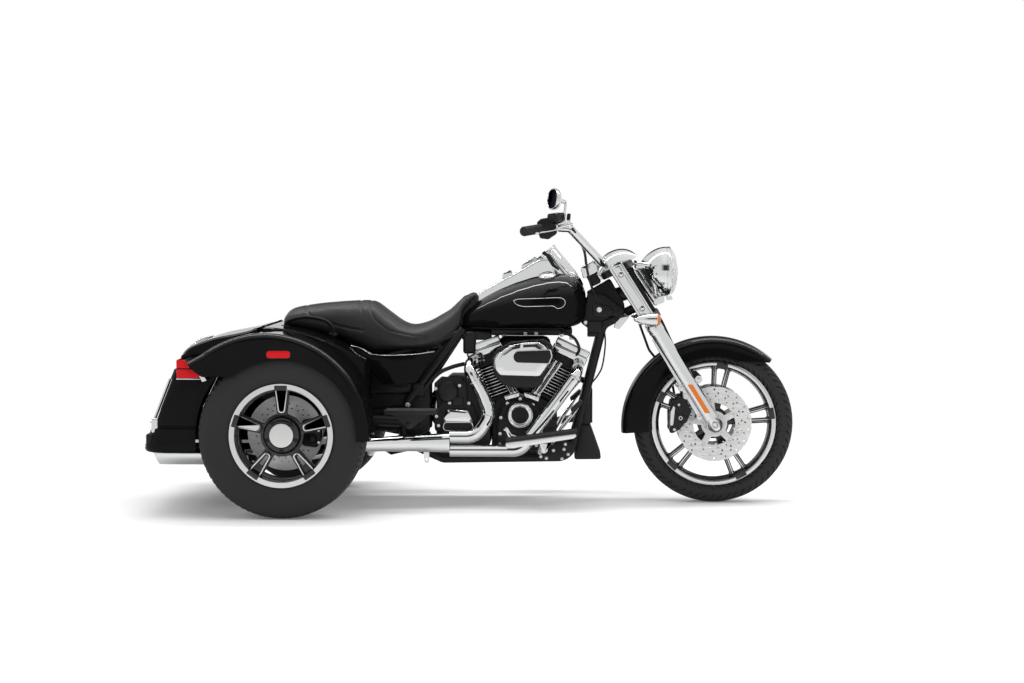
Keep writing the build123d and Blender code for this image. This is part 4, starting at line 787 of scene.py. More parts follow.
def triple_trees():
    trees, cowl, risers = Shape(), Shape(), Shape()
    across = plane_frame(steer(0), steering_ahead, Y)
    for along, back, front, half in ((lower_tree, -44, 50, 151), (upper_tree, -95, 41, 151)):
        outline = [(back, -half + 20), (back + 18, -half), (front - 26, -half), (front, -half * 0.55)]
        outline += [(x, -y) for x, y in outline[::-1]]
        trees.panel(outline, 14, along - 14.5, along + 14.5, 4, across)
    trees.lathe([(815, 0), (815, 22), (820, 26), (845, 30), (849, 30)], steer(0), steering_up, 40)
    stem = [(1037, 30), (1043, 28), (1072, 26), (1074, 20), (1080, 18), (1082, 0)]
    trees.lathe(stem, steer(0), steering_up, 40)
    trees.piece("fork_trees", "satin_black", "front_end", "triple_tree", "black_frame")
    rows = []
    for turn in np.linspace(0, math.pi, 25):
        row = []
        for aside in np.linspace(-1, 1, 25):
            rise = 66 * math.sin(turn) * math.sqrt(max(0, 1 - abs(aside) ** 2.6))
            row.append(steer(1066 + rise, -20 + 88 * math.cos(turn), 96 * aside))
        rows.append(row)
    cowl.grid(rows).piece("fork_tree_cowl", "chrome", "front_end", None, "chrome", 60)
    risers.lathe([(0, 22), (6, 22), (9, 20), (22, 19), (26, 23), (27, 23)], steer(1070, -67, 48), steering_up, 36)
    clamp = [(-90, 1094), (-90, 1112), (-82, 1121), (-52, 1121), (-44, 1112), (-44, 1080), (-52, 1072), (-82, 1072)]
    risers.panel([*clamp, (-90, 1080)], 5, -33, -63, 3, steering_side)
    for ahead in (-82, -52):
        for aside in (40, 56):
            risers.bolt(steer(1120, ahead, aside), steering_up, 5, 5)
    risers.mirrored().piece("handlebar_risers", "chrome", "front_end", None, "chrome")


fork_legs()
fork_covers()
triple_trees()

bar_middle = steer(1097, -67)
bar_line = [(0, 100, 0), (136, 228, 143), (216, 286, 149), (311, 440, 133)]  # back, out and up from its middle
bar_half = [bar_middle + Vector((-back, out, up)) for back, out, up in bar_line]


def squared_ring(centre, wide, tall, power, count):
    """A ring of points about a centre, drawn out towards a square; wide and tall are vectors."""
    turns = [2 * math.pi * k / count for k in range(count)]
    return [centre + wide * c + tall * s for c, s in (swollen(turn, power) for turn in turns)]


def hand_controls(housings, bright, root, way):
    """The switch housings, clamps, reservoirs and levers inboard of the left grip, which starts at root.

    The housings are made for both sides, and the bright parts for the left.
    """
    ahead = Vector(Z).cross(way).normalized() * -1
    up = way.cross(ahead)
    if up.z < 0:
        up = -up
    inner = root - way * 62
    rows = []
    for share, wide, tall, drop in (
        (0, 17, 17, 0), (0.02, 21, 22, -2), (0.12, 24, 27, -5), (0.35, 25, 32, -9), (0.6, 26, 33, -10),
        (0.85, 25, 30, -7), (0.97, 23, 26, -3), (1.0, 19, 20, 0),
    ):
        rows.append(squared_ring(inner + way * (60 * share) + up * drop, ahead * wide, up * tall, 0.7, 32))
    housings.grid(rows, ring=True, caps=True)
    for along, lift in ((18, -16), (34, -18), (50, -12)):
        point = inner + way * along + up * lift - ahead * 24
        housings.lathe([(0, 7), (4, 6.6), (5.4, 5), (5.4, 0)], point, -ahead, 20)
    bright.lathe([(0, 15.8), (0, 21), (2, 22.4), (16, 22.4), (18, 21), (18, 15.8)], inner - way * 14, way, 40)
    pivot = root - way * 30 + ahead * 46
    post = pivot - way * 6
    housings.pipe([inner - way * 4 + ahead * 12, post + ahead * 2], 10)
    housings.pipe([post + up * 6, post + up * 30], 11)
    for dx in (-24, 24):
        for dy in (-14, 14):
            bright.bolt(post + up * 55 + way * dx + ahead * dy, up, 3.2, 2.5)
    places = ((-2, 0, -4), (34, 10, -6), (80, 12, -7), (130, 6, -8), (156, 12, -8))
    lever = smooth_line([pivot + way * a + ahead * b + up * c for a, b, c in places], 8)
    bright.pipe(lever, lambda s: 7.5 - 2.2 * s + (2.5 * max(0, s - 0.93) / 0.07), sides=18, squash=0.62)
    bright.lathe([(-14, 8), (-12, 9.5), (12, 9.5), (14, 8), (14, 0)], pivot - up * 2, up, 24)
    grip_side = [(252, 1124), (268, 1138), (306, 1145), (330, 1104), (331, 1080), (298, 1058), (264, 1062)]
    housings.panel(grip_side, 12, 318, 350, 6)
    bright.pipe([(310, 332, 1092), (346, 330, 1108), (391, 322, 1119)], 8, bend=20, sides=18)
    bright.pipe([(316, 334, 1113), (350, 332, 1122), (384, 324, 1126)], 5.5, bend=20, sides=16)
    housings.pipe([(376, 322, 1134), (378, 320, 1158)], 7, sides=18)
    lid = [(-34, -23), (30, -23), (36, -16), (36, 16), (28, 23), (-30, 23), (-36, 14), (-36, -16)]
    housings.mirrored()
    for side in sides:
        flip = Vector((1, side, 1))
        master = plane_frame((post + up * 40) * flip, way * flip, ahead * flip)
        housings.panel(lid, 6, -16, 12, 3, master)
        housings.panel([(x * 0.93, y * 0.9) for x, y in lid], 5, 12, 16, 1.5, master)


def handlebar():
    bar, grips, housings, bright = Shape(), Shape(), Shape(), Shape()
    line = [Vector((p.x, -p.y, p.z)) for p in bar_half[::-1]] + bar_half
    bar.pipe(rounded(line, [0, 70, 40, 45, 45, 40, 70, 0], step=5), 16, sides=32)
    bar.piece("handlebar_tube", "chrome", "front_end", "handlebar", "chrome")
    way = (bar_half[3] - bar_half[2]).normalized()
    root = bar_half[3] - way * 125
    profile = [(0, 16.4), (0, 21.5), (4, 22.3), (9, 21.5), (10, 18.6)]
    for low in range(12, 120, 6):
        profile += [(low, 18.1), (low + 0.8, 18.9), (low + 3.4, 18.9), (low + 4.2, 18.1)]
    profile += [(120, 18.4), (122, 19), (129, 19), (132.4, 17.6), (133, 14), (133, 0)]
    grips.lathe(profile, root, way, 48)
    hand_controls(housings, bright, root, way)
    grips.mirrored().piece("hand_grip_ribs", "rubber", "front_end", "hand_grips", "black_rubber", 50)
    housings.piece("switch_housings", "satin_black", "front_end", "hand_controls", "black_plastic", 45)
    bright.mirrored().piece("hand_levers", "chrome", "front_end", None, "chrome")


def mirrors():
    shells, glasses = Shape(), Shape()
    centre = Vector((bar_middle.x - 190, 400, bar_middle.z + 256))
    facing = Vector((-1, 0.3, 0.12)).normalized()
    across = Vector(Z).cross(facing).normalized()
    up = facing.cross(across)

    def ring(wide, tall, ahead):
        return squared_ring(centre + facing * ahead, across * wide, up * tall, 0.86, 48)

    shells.grid([ring(68, 41, 14), ring(66, 39.5, 16.5), ring(64, 38, 17), ring(63, 37, 14.5)], ring=True)
    turns = [math.pi / 2 * k / 12 for k in range(12)]
    shells.grid([ring(68 * math.cos(a), 41 * math.cos(a), 14 - 30 * math.sin(a)) for a in turns], ring=True)
    shells.lathe([(0, 0), (3, 7), (8, 9), (14, 9)], centre - facing * 20, facing, 24)
    glasses.grid([ring(63.2, 37.2, 14.6), ring(40, 24, 14.9), ring(0.5, 0.3, 15)], ring=True)
    knee = Vector((bar_middle.x - 152, 316, bar_middle.z + 248))
    foot = Vector((bar_middle.x - 162, 316, bar_middle.z + 164))
    stem = rounded([centre - facing * 16, knee, foot], 12, step=6)
    shells.pipe(stem, lambda s: 5 + 1.8 * max(0, 2 * s - 1), sides=16)
    shells.lathe([(0, 12), (6, 12), (9, 9.5), (14, 8.5), (18, 8.5)], foot - Vector((0, 0, 3)), Z, 24)
    shells.mirrored().piece("mirror_shells", "chrome", "front_end", "mirrors", "chrome", 50)
    # The glass carries the painted dark reflection.
    glasses.mirrored().piece("mirror_glasses", "dark_mirror", "front_end")


handlebar()
mirrors()

# ---------------------------------------------------------------- headlamp, its carrier and the signals

lamp_z = middle("headlamp").z
lamp_x = box("headlamp")[1].x - 14  # joint of the bowl and the trim ring


def quarter(count, start=0):
    """Cosines and sines of a quarter turn cut in count steps."""
    return [(math.cos(math.pi / 2 * k / count), math.sin(math.pi / 2 * k / count)) for k in range(start, count + 1)]


def headlamp():
    bowl, clip, lens, inside = Shape(), Shape(), Shape(), Shape()
    origin = (lamp_x, 0, lamp_z)
    profile = [(-117, 0)] + [(-117 * c, 102.5 * s**1.3) for c, s in quarter(24, 1)]
    profile += [(0, 102.5), (1, 100.5), (2.6, 100.5), (3.6, 103.4), (10, 103.2), (15, 101.2), (18.6, 97)]
    bowl.lathe([*profile, (18.6, 91.5), (14, 91)], origin, X, 96)
    bowl.piece("headlamp_bowl", "chrome", "front_end", "headlamp", "chrome")
    clip.lathe([(0, 13), (5, 13), (7, 10), (7, 0)], (lamp_x - 50, 86, lamp_z - 10), (-0.5, 1, 0), 28).mirrored()
    clip.panel([(2, -112), (22, -112), (22, -96), (2, -96)], 2, -9, 9, 1, at=(lamp_x, lamp_z))
    clip.bolt((lamp_x + 22, 0, lamp_z - 106), X, 4, 4)
    clip.piece("headlamp_trim_clip", "chrome", "front_end")
    curve = [(14 + 33.6 * c, 91.4 * s) for c, s in quarter(14)]
    lens.lathe(curve, origin, X, 80).lathe([(a - 3, b * 0.985) for a, b in curve], origin, X, 80)
    lens.piece("headlamp_glass", "glass", "front_end", "headlamp_lens", "clear_lens", 70)
    inside.lathe([(14 - 60 * c, 90.6 * s) for c, s in quarter(12, 1)], origin, X, 72)
    cup = [(-12, 18), (-12, 30), (4, 33), (8, 32), (8, 30), (-4, 27), (-6, 18)]
    for level in (-26, 26):
        place = (lamp_x, 0, lamp_z + level)
        inside.lathe(cup, place, X, 48).lathe([(-8, 17), (6, 16), (14, 11), (17, 0)], place, X, 36)
    inside.piece("headlamp_reflector", "polished", "front_end")


def fork_shroud():
    shroud, bars = Shape(), Shape()
    outline = [(586, 968), (614, 962), (727, 775), (756, 731), (804, 627), (794, 621), (738, 722), (699, 768)]
    shroud.panel(outline, [4, 4, 20, 20, 3, 3, 20, 20], -66, 66, 4)
    shroud.piece("fork_shroud_panel", "satin_black", "front_end", "fork_shroud", "black_plastic")
    for shift, radius in ((0, 9), (17, 6), (30, 6)):
        ends = [(640 + shift, 46, 932 + shift * 0.3), (722 + shift * 0.9, 46, 808 + shift * 0.5)]
        bars.pipe(ends, radius, sides=18)
    bars.panel([(706, 824), (760, 836), (762, 806), (722, 790)], 6, 42, 52, 2)
    bars.mirrored().piece("lamp_bracket_bars", "chrome", "front_end")


def lamp_carrier():
    plate, arms = Shape(), Shape()
    outline = [(-84, 934), (84, 934), (85, 1000), (60, 1037), (-60, 1037), (-85, 1000)]
    plate.panel(outline, 14, 0, 12, 3, plane_frame(steer(0, 60), Y, steering_up))
    plate.piece("lamp_carrier_panel", "satin_black", "front_end", "headlamp_nacelle", "black_frame")
    arms.pipe([steer(1048, 46, 62), steer(1020, 86, 66), (lamp_x - 62, 60, lamp_z + 30)], 10, bend=24, sides=24)
    for ahead in (74, 92):
        on = ahead - 74
        top, foot = steer(960, ahead, 70), Vector((lamp_x - 46 + on * 1.2, 62, lamp_z - 84 + on * 0.4))
        arms.pipe(smooth_line([top, (top + foot) / 2 + Vector((4, 8, 4)), foot], 8), 6.4)
    pad = steer(1030, 40)
    arms.block((pad.x, 50, pad.z - 4), (pad.x + 40, 74, pad.z + 14), 4).mirrored()
    start = steer(985, 72)
    axis = Vector((lamp_x - 40, 0, lamp_z)) - start
    profile = [(-2, 44), (6, 44), (9, 38)]
    for low in range(11, 50, 7):
        profile += [(low, 36), (low + 2, 39), (low + 4, 39), (low + 6, 36)]
    profile += [(56, 36), (60, 42), (axis.length - 44, 46), (axis.length - 40, 40)]
    arms.lathe(profile, start, axis, 56).piece("lamp_carrier_arms", "chrome", "front_end", None, "chrome")


def signals():
    shells, lenses = Shape(), Shape()
    face = Vector((box("front_signals")[1].x, 200, middle("front_signals").z))
    bullet = [(-96, 0)] + [(-96 + 84 * k / 16, 25.5 * math.sin(math.pi / 2 * k / 16) ** 0.62) for k in range(1, 17)]
    bullet += [(-9, 26), (-8.6, 24.6), (-7.4, 24.6), (-6.6, 26.8), (-2, 26.8), (-0.6, 25.6), (-0.6, 23.6), (-4, 23.4)]
    shells.lathe(bullet, face, X, 56)
    shells.pipe([face + Vector((-62, -50, 0)), face + Vector((-62, -18, 0))], 8.6, sides=24)
    shells.lathe([(0, 17), (5, 17), (8, 13), (14, 9)], face + Vector((-62, -32.6, 0)), Y, 32)
    lenses.lathe([(-4, 23.4), (1, 23.2), (6, 21), (10, 15), (12, 7), (12.4, 0)], face, X, 48)
    for k in range(3):
        ridge = [(9.9 - 1.5 * k, 12 + 3.6 * k), (11 - 1.6 * k, 13 + 3.6 * k), (9.3 - 1.6 * k, 14.2 + 3.6 * k)]
        lenses.lathe(ridge, face, X, 48)
    shells.mirrored().piece("front_signal_shells", "chrome", "front_end", "front_signals", "chrome")
    lenses.mirrored().piece("front_signal_lenses", "amber", "front_end")


headlamp()
fork_shroud()
lamp_carrier()
signals()

# ---------------------------------------------------------------- front fender and brakes


def front_fender():
    """The fender's section goes round its crown and down its skirts; the skirts end on a circle round the axle."""
    skin, stays = Shape(), Shape()
    centre = Vector((front_x - 5.6, 0, front_z - 15))
    offset = Vector((front_x, 0, front_z)) - centre
    crown, half, round_off, skirt = 360, 80, 26, 263
    start, end, flare, wall = 49, 184, 1.2, 4
    outer, inner = [], []
    for k in range(91):
        share = k / 90
        angle = math.radians(start + (end - start) * share)
        way = Vector((math.cos(angle), 0, math.sin(angle)))
        # Radius about the fender's middle at which the skirt circle round the axle is met
        along = way.dot(offset)
        low = along + math.sqrt(max(0, skirt**2 - (offset.length_squared - along * along)))
        # The skirts rise at the front end, where they taper to a point
        low += (crown - 16 - low) * max(0, (0.16 - share) / 0.16) ** 1.5
        profile = [(half, low), (half + flare, low + 2), (half + flare, low + 7), (half, low + 10)]
        profile += [(half - round_off * (1 - c), crown - round_off * (1 - s)) for c, s in quarter(8)[:-1]]
        for j in range(5):
            profile.append(((half - round_off) * (1 - j / 4), crown + 4.5 * math.sin(math.pi / 2 * j / 4)))
        profile = [(a, max(b, low)) for a, b in profile]
        full = profile + [(-a, b) for a, b in profile[-2::-1]]
        outer.append([centre + way * b + Vector((0, a, 0)) for a, b in full])
        inner.append([centre + way * max(b - wall, low) + Vector((0, a * (half - wall) / half, 0)) for a, b in full])
    skin.grid(outer).grid(inner)
    for end in (0, -1):
        skin.grid([outer[end], inner[end]])
        skin.grid([[row[end] for row in outer], [row[end] for row in inner]])
    skin.piece("front_fender_shell", "paint", "front_end", "front_fender", "black_paint", 35)
    outline = [(-6, 262), (30, 236), (52, 214), (58, 190), (46, 178), (30, 186), (26, 210), (-16, 236), (-26, 330)]
    stays.panel([*outline, (14, 330)], 8, -81, -88, 2, fork_side)
    for along in (262, 318):
        stays.pipe([fork(along, -4, 84), fork(along, -4, 96)], 10)
        stays.bolt(fork(along, -4, 88), Y, 7, 4)
    stays.mirrored().piece("front_fender_stays", "satin_black", "front_end", None, "black_frame")


def front_calipers():
    bodies, bolts, inserts = Shape(), Shape(), Shape()
    outline = [(-178, -8), (-180, -34), (-166, -35), (-140, -20), (-108, 16), (-92, 52), (-98, 62), (-112, 92)]
    outline += [(-122, 110), (-140, 108), (-154, 100), (-168, 84), (-180, 40)]
    bridge = [(-180, 44), (-172, 84), (-160, 98), (-152, 90), (-162, 76), (-170, 40), (-170, -6), (-180, -6)]
    bodies.panel(outline, 7, 88, 119, 4, rounds=3, at=FRONT)
    bodies.panel(outline, 7, 46, 76, 4, at=FRONT).panel(bridge, 3, 70, 96, 2, at=FRONT)
    for dx, dz in ((-140, 60), (-124, 22)):
        bodies.lathe([(0, 17), (3, 17), (5, 15.4), (5, 0)], (front_x + dx, 118, front_z + dz), Y, 36)
    for dx, dz, size in ((-143, 79, 6), (-136, 26, 9), (-161, -20, 7)):
        bolts.bolt((front_x + dx, 119, front_z + dz), Y, size, 6)
    inserts.panel([(-178, -4), (-166, -4), (-158, 66), (-164, 76), (-176, 50)], 4, 118, 120.6, 1, at=FRONT)
    bodies.mirrored().piece("front_caliper_bodies", "engine_black", "front_end", "front_calipers", "black_engine")
    bolts.mirrored().piece("front_caliper_bolts", "steel", "front_end")
    inserts.mirrored().piece("front_caliper_inserts", "disc_steel", "front_end")


front_fender()
front_calipers()

# ---------------------------------------------------------------- tank and console

# Along the tank: X, half width, bottom and top
tank_table = [
    (-49, 40, 716, 746), (-48, 50, 710, 756), (-44, 60, 706, 767), (-34, 71, 703.6, 778), (-15, 84, 703, 792),
    (15, 101, 703, 811), (50, 118, 703, 832), (100, 140, 703, 858), (165, 160, 703, 885), (230, 171, 703, 906),
    (290, 175.5, 703, 919), (340, 173, 703.5, 923), (375, 164, 706, 919), (400, 150, 711, 908), (420, 131, 719, 892),
    (434, 108, 731, 873), (443, 82, 746, 852), (446.4, 62, 757, 836), (447, 48, 766, 826),
]
TANK_LEVEL, TANK_ROUND = 0.34, 2.5  # widest level as a share of the height, and the power of its upper curve


def tank_sizes(x):
    """Half width, widest level and the height above it."""
    half, low, top = lerp_table(tank_table, x)
    return half, low + TANK_LEVEL * (top - low), (1 - TANK_LEVEL) * (top - low)


def egg_section(x, half, low, top, level, powers, count, lean=0.0):
    """A closed section whose upper and lower halves have powers of their own."""
    points = []
    for k in range(count):
        turn = 2 * math.pi * (k + 0.5) / count
        upper = math.sin(turn) > 0
        c, s = swollen(turn, 2 / powers[0 if upper else 1])
        reach = top - level if upper else level - low
        points.append(Vector((x, half * (1 - lean * max(0.0, math.sin(turn))) * c, level + reach * s)))
    return points


def tank():
    shell, trim, outline = Shape(), Shape(), Shape()
    rows = []
    for x in [-49, -48, -46, -43, -38, *range(-30, 419, 8), 423, 429, 434, 438, 441.5, 444, 446, 447]:
        half, low, top = lerp_table(tank_table, x)
        rows.append(egg_section(x, half, low, top, tank_sizes(x)[1], (TANK_ROUND, 6.0), 72))
    shell.grid(rows, ring=True, caps=True).piece("fuel_tank_shell", "paint", "root", "fuel_tank", "black_paint", 30)
    trim.pipe([(x, lerp_table(tank_table, x)[0] - 9, 702.4) for x in range(-20, 372, 14)], 3.2, sides=12)
    trim.mirrored().piece("tank_seams", "paint")
    # A thin bare outline, with nothing in it
    badge = [(159, 815), (182, 821), (260, 824), (332, 827), (355, 822), (364, 808), (355, 791), (333, 784)]
    badge += [(313, 794), (260, 793), (198, 792), (169, 801), (159, 815)]
    path = []
    for p in smooth_line([(x, 0, z) for x, z in badge], 5):
        half, level, height = tank_sizes(p.x)
        rise = min(0.999, max(0, (p.z - level) / height))
        path.append((p.x, half * (1 - rise**TANK_ROUND) ** (1 / TANK_ROUND) + 0.2, p.z))
    outline.pipe(path, 1.5, sides=8).mirrored().piece("tank_outlines", "polished")


def console():
    body, pod, dial, marks, cover, painted_gap_shadow, latches, caps = (Shape() for _ in range(8))
    # Along the console: X, half width, foot and top
    table = [
        (-30, 20, 760, 786), (0, 30, 780, 828), (20, 34, 796, 846), (60, 38, 816, 868), (110, 42, 838, 896),
        (160, 44, 858, 922), (210, 45, 872, 950), (250, 46, 880, 974), (285, 46, 884, 985), (318, 45, 884, 972),
        (345, 44, 880, 952), (375, 42, 874, 936), (405, 36, 866, 921), (424, 26, 850, 905), (436, 18, 840, 880),
    ]
    rows = []
    for x in [*range(-30, 433, 6), 436]:
        half, foot, top = lerp_table(table, x)
        profile = rounded([(-half, foot), (-half, top - 3), (half, top - 3), (half, foot)], [0, 7, 7, 0], step=15)
        crown = [(a, b + 3 * max(0, 1 - (a / half) ** 2) if b > top - 20 else b) for a, b in profile]
        rows.append([Vector((x, a, b)) for a, b in crown])
    body.grid(rows).grid([[row[0] for row in rows], [row[-1] for row in rows]])
    for end in (0, -1):
        body.add(rows[end], [range(len(rows[end]))])
    body.piece("console_body", "chrome", "root", "tank_console", "chrome", 35)
    face, axis = Vector((284, 0, 1003)), Vector((0.618, 0, -0.786))
    profile = [(-2, 43.5), (-3.6, 46.5), (-2.4, 49), (2, 50), (8, 48.6), (10, 46), (14, 46.5), (60, 48), (100, 49)]
    pod.lathe([*profile, (150, 50), (152, 48), (152, 20)], face, axis, 72).piece("gauge_pod", "chrome")
    dial.lathe([(1.5, 44), (6, 42.5), (6, 0)], face, axis, 72).piece("gauge_dial", "plastic")
    turned = frame_along(face + axis * 5.6, -axis, Y)
    for k in range(23):
        long = 7 if k % 2 == 0 else 4
        marks.plate([across_spoke(220 - 260 / 22 * k, (38 - long, 0.5), (38, 0.5))], 0, 0.4, 0.1, turned, 0)
    marks.plate([across_spoke(205, (-8, 1.2), (34, 0.3))], 1.0, 1.8, 0.1, turned, 0)
    marks.piece("gauge_marks", "white_paint")
    cover.lathe([(-1.2, 44), (-2.4, 30), (-2.8, 0)], face, axis)
    cover.piece("gauge_glass", "glass", "root", None, "clear_lens", 70)
    # A thin dark strip along each flank where the pod meets the console: painted shadow in the gap between them.
    flank = [(268, 1000), (286, 990), (296, 972), (310, 950), (330, 936), (342, 932), (338, 942), (322, 958)]
    painted_gap_shadow.panel([*flank, (308, 980), (296, 998), (280, 1010)], 3, 47.5, 50.2, 0.8)
    painted_gap_shadow.mirrored().piece("gauge_side_shade", "satin_black")
    latches.panel([(110, 894), (113, 920), (142, 935), (153, 924), (150, 908)], 4, -16, 16, 2.5)
    latches.panel([(186, 934), (190, 956), (246, 990), (256, 970)], 4, -16, 16, 2.5)
    latches.piece("console_latches", "polished")
    cap_x, aside = 292, 84
    half, level, height = tank_sizes(cap_x)
    spot = Vector((cap_x, aside, level + (1 - (aside / half) ** TANK_ROUND) ** (1 / TANK_ROUND) * height))
    lean = Vector((-0.12, 0.3, 1)).normalized()
    profile = [(-6, 33), (0, 33), (2, 34), (6, 34), (8, 32), (8.6, 29), (11, 27), (14, 20), (15.4, 10), (15.8, 0)]
    caps.lathe(profile, spot, lean, 56)
    for x, y in circle(0, 0, 33.4, 24):
        point = frame_along(spot, lean) @ Vector((x, y, 3.5))
        caps.lathe([(-2.6, 1.4), (2.6, 1.4), (3, 0)], point, lean, 8)
    caps.mirrored().piece("tank_filler_caps", "chrome")


tank()
console()

# ---------------------------------------------------------------- engine

crank = Vector((engine_x + 15, 0, 245))
tilts = (-20, 26)
RIGHT = (0, -1, 0)


def up_cylinder(tilt, up, across=0.0, y=0.0):
    """A point up a cylinder's axis from the crank, and across it in the side view."""
    turn = math.radians(tilt)
    across += 8 if tilt > 0 else -22
    s, c = math.sin(turn), math.cos(turn)
    return crank + Vector((up * s + across * c, y, up * c - across * s))


def square(half_x, half_y, radius):
    corners = [(-half_x, -half_y), (half_x, -half_y), (half_x, half_y), (-half_x, half_y)]
    return rounded(corners, radius, closed=True, step=18)


def screws_at(shape, places, y, radius, height, side=RIGHT):
    for x, z in places:
        shape.bolt((x, y, z), side, radius, height)


def cylinders():
    black, edges, heads, covers, screws = (Shape() for _ in range(5))
    for tilt in tilts:
        turn = math.radians(tilt)
        up_way = Vector((math.sin(turn), 0, math.cos(turn)))
        up_frame = plane_frame(up_cylinder(tilt, 0), (math.cos(turn), 0, -math.sin(turn)), Y)
        black.lathe([(194, 50), (372, 50)], up_cylinder(tilt, 0), up_way, 48)
        black.plate([square(62, 74, 14)], 194, 208, 3, up_frame)
        for k in range(12):
            up, big = 214 + k * 12.6, 60 if k > 0 else 57
            black.plate([square(big, 75, 26)], up, up + 5, 1.4, up_frame, 1)
            edge = [square(big + 0.5, 75.5, 26), square(big - 3.2, 71.8, 23)]
            edges.plate(edge, up + 1.1, up + 3.9, 0.6, up_frame, 1)
        heads.plate([square(62, 94, 16)], 340, 386, 3, up_frame)
        for level in (346, 356, 366, 376):
            heads.plate([square(66, 99, 17)], level, level + 4, 1.4, up_frame, 1)
        # Two-piece rocker cover
        covers.plate([square(74, 98, 9)], 384, 411, 2.5, up_frame)
        covers.plate([square(72, 96, 9)], 411, 440, 7, up_frame, 4)
        for side in sides:
            for dx in (-46, 46):
                screws.hexagon(up_frame @ Vector((dx, side * 80, 396)), up_way, 7, 8)
            for dx in (-58, 0, 58):
                screws.bolt(up_frame @ Vector((dx, side * 86, 433)), up_way, 5.5, 7)
    black.piece("cylinder_barrels", "engine_black", "root", "cylinders", "black_engine")
    edges.piece("cylinder_fin_edges", "machined", "root", None, "polished_steel")
    heads.piece("cylinder_heads", "engine_black", "root", None, "black_engine")
    covers.piece("rocker_cover_shells", "chrome", "root", "rocker_covers", "chrome")
    screws.piece("cylinder_bolts", "steel", "root", None, "polished_steel")


def pushrods():
    tubes = Shape()
    blocks = ([(118, 432), (181, 449), (182, 430), (126, 414)], [(198, 449), (262, 430), (258, 408), (202, 430)])
    for tilt, lean, block in zip(tilts, (1, -1), blocks):
        for low_aside, aside in ((41, 16), (57, 38)):
            foot = up_cylinder(tilt, 198, lean * low_aside, -90)
            way = up_cylinder(tilt, 352, lean * aside, -90) - foot
            long = way.length
            profile = [(-4, 12), (5, 12), (7, 9.4), (10, 7.4)]
            profile += [(a * long, b) for a, b in ((0.56, 7.4), (0.57, 9.6), (0.6, 10.4), (0.63, 9.6), (0.64, 8.4))]
            profile += [(long - 8, 8.4), (long - 6, 11), (long, 11)]
            tubes.lathe(profile, foot, way, 32)
        # Angled lifter block under the two tubes
        tubes.panel(block, 5, -116, -80, 3)
    screws_at(tubes, [(132, 424), (166, 431), (212, 431), (248, 424)], -115, 5, 4)
    tubes.piece("pushrod_covers", "chrome", "root", "pushrod_tubes", "chrome")


def crankcase():
    case, bright, screws, disc = (Shape() for _ in range(4))
    outline = [(70, 214), (286, 212), (318, 244), (331, 300), (332, 352), (318, 396), (246, 436), (198, 424)]
    case.panel([*outline, (150, 436), (92, 420), (72, 372)], 16, -99, 126, 6)
    for level in (262, 300, 338, 376):
        case.block((74, -103, level), (92, -96, level + 6), 1.5)
        case.block((306, -103, level), (330, -96, level + 6), 1.5)
    # Pear-shaped gear case with a flange, a face and a pointed-round window
    pear = [(96, 234), (240, 234), (276, 262), (284, 330), (262, 388), (226, 416), (146, 416), (108, 392), (90, 336)]
    pear.append((88, 262))
    case.panel(pear, 26, -122, -96, 4)
    case.panel([(185 + (x - 185) * 0.93, 322 + (z - 322) * 0.93) for x, z in pear], 24, -131, -118, 3)
    centre = (185, -131, 357.6)
    case.lathe([(-4, 60), (8, 59), (13, 56), (15, 50), (15, 0)], centre, RIGHT, 72)
    bright.lathe([(10, 52), (14, 51), (17, 48), (17.8, 45), (17.8, 36), (16.4, 34), (14, 33.6)], centre, RIGHT, 72)
    screws_at(screws, [(185 + x, 357.6 + z) for x, z in (polar(42, 0, a) for a in spokes(30, 60))], -148.6, 3.6, 2.4)
    disc.lathe([(14, 34.5), (15, 34), (15.4, 28), (15, 27), (15.2, 22), (15.8, 20), (15.8, 0)], centre, RIGHT)
    disc.piece("cam_cover_disc", "satin_black")
    lower = [(112, 300), (128, 292), (140, 262), (196, 244), (252, 262), (262, 292), (244, 300), (226, 282)]
    bright.panel([*lower, (186, 270), (150, 284), (134, 312)], 6, -140, -128, 2.5)
    screws_at(screws, [(185, 422), (134, 404), (236, 398)], -121, 7.5, 7)
    screws_at(screws, [(108, 348), (105, 284), (264, 354), (268, 292), (104, 242), (250, 238)], -131, 7.5, 7)
    case.piece("crankcase_shell", "engine_black", "root", "crankcase", "black_engine")
    bright.piece("cam_cover_ring", "chrome")
    screws.piece("crankcase_screws", "steel", "root", None, "polished_steel")


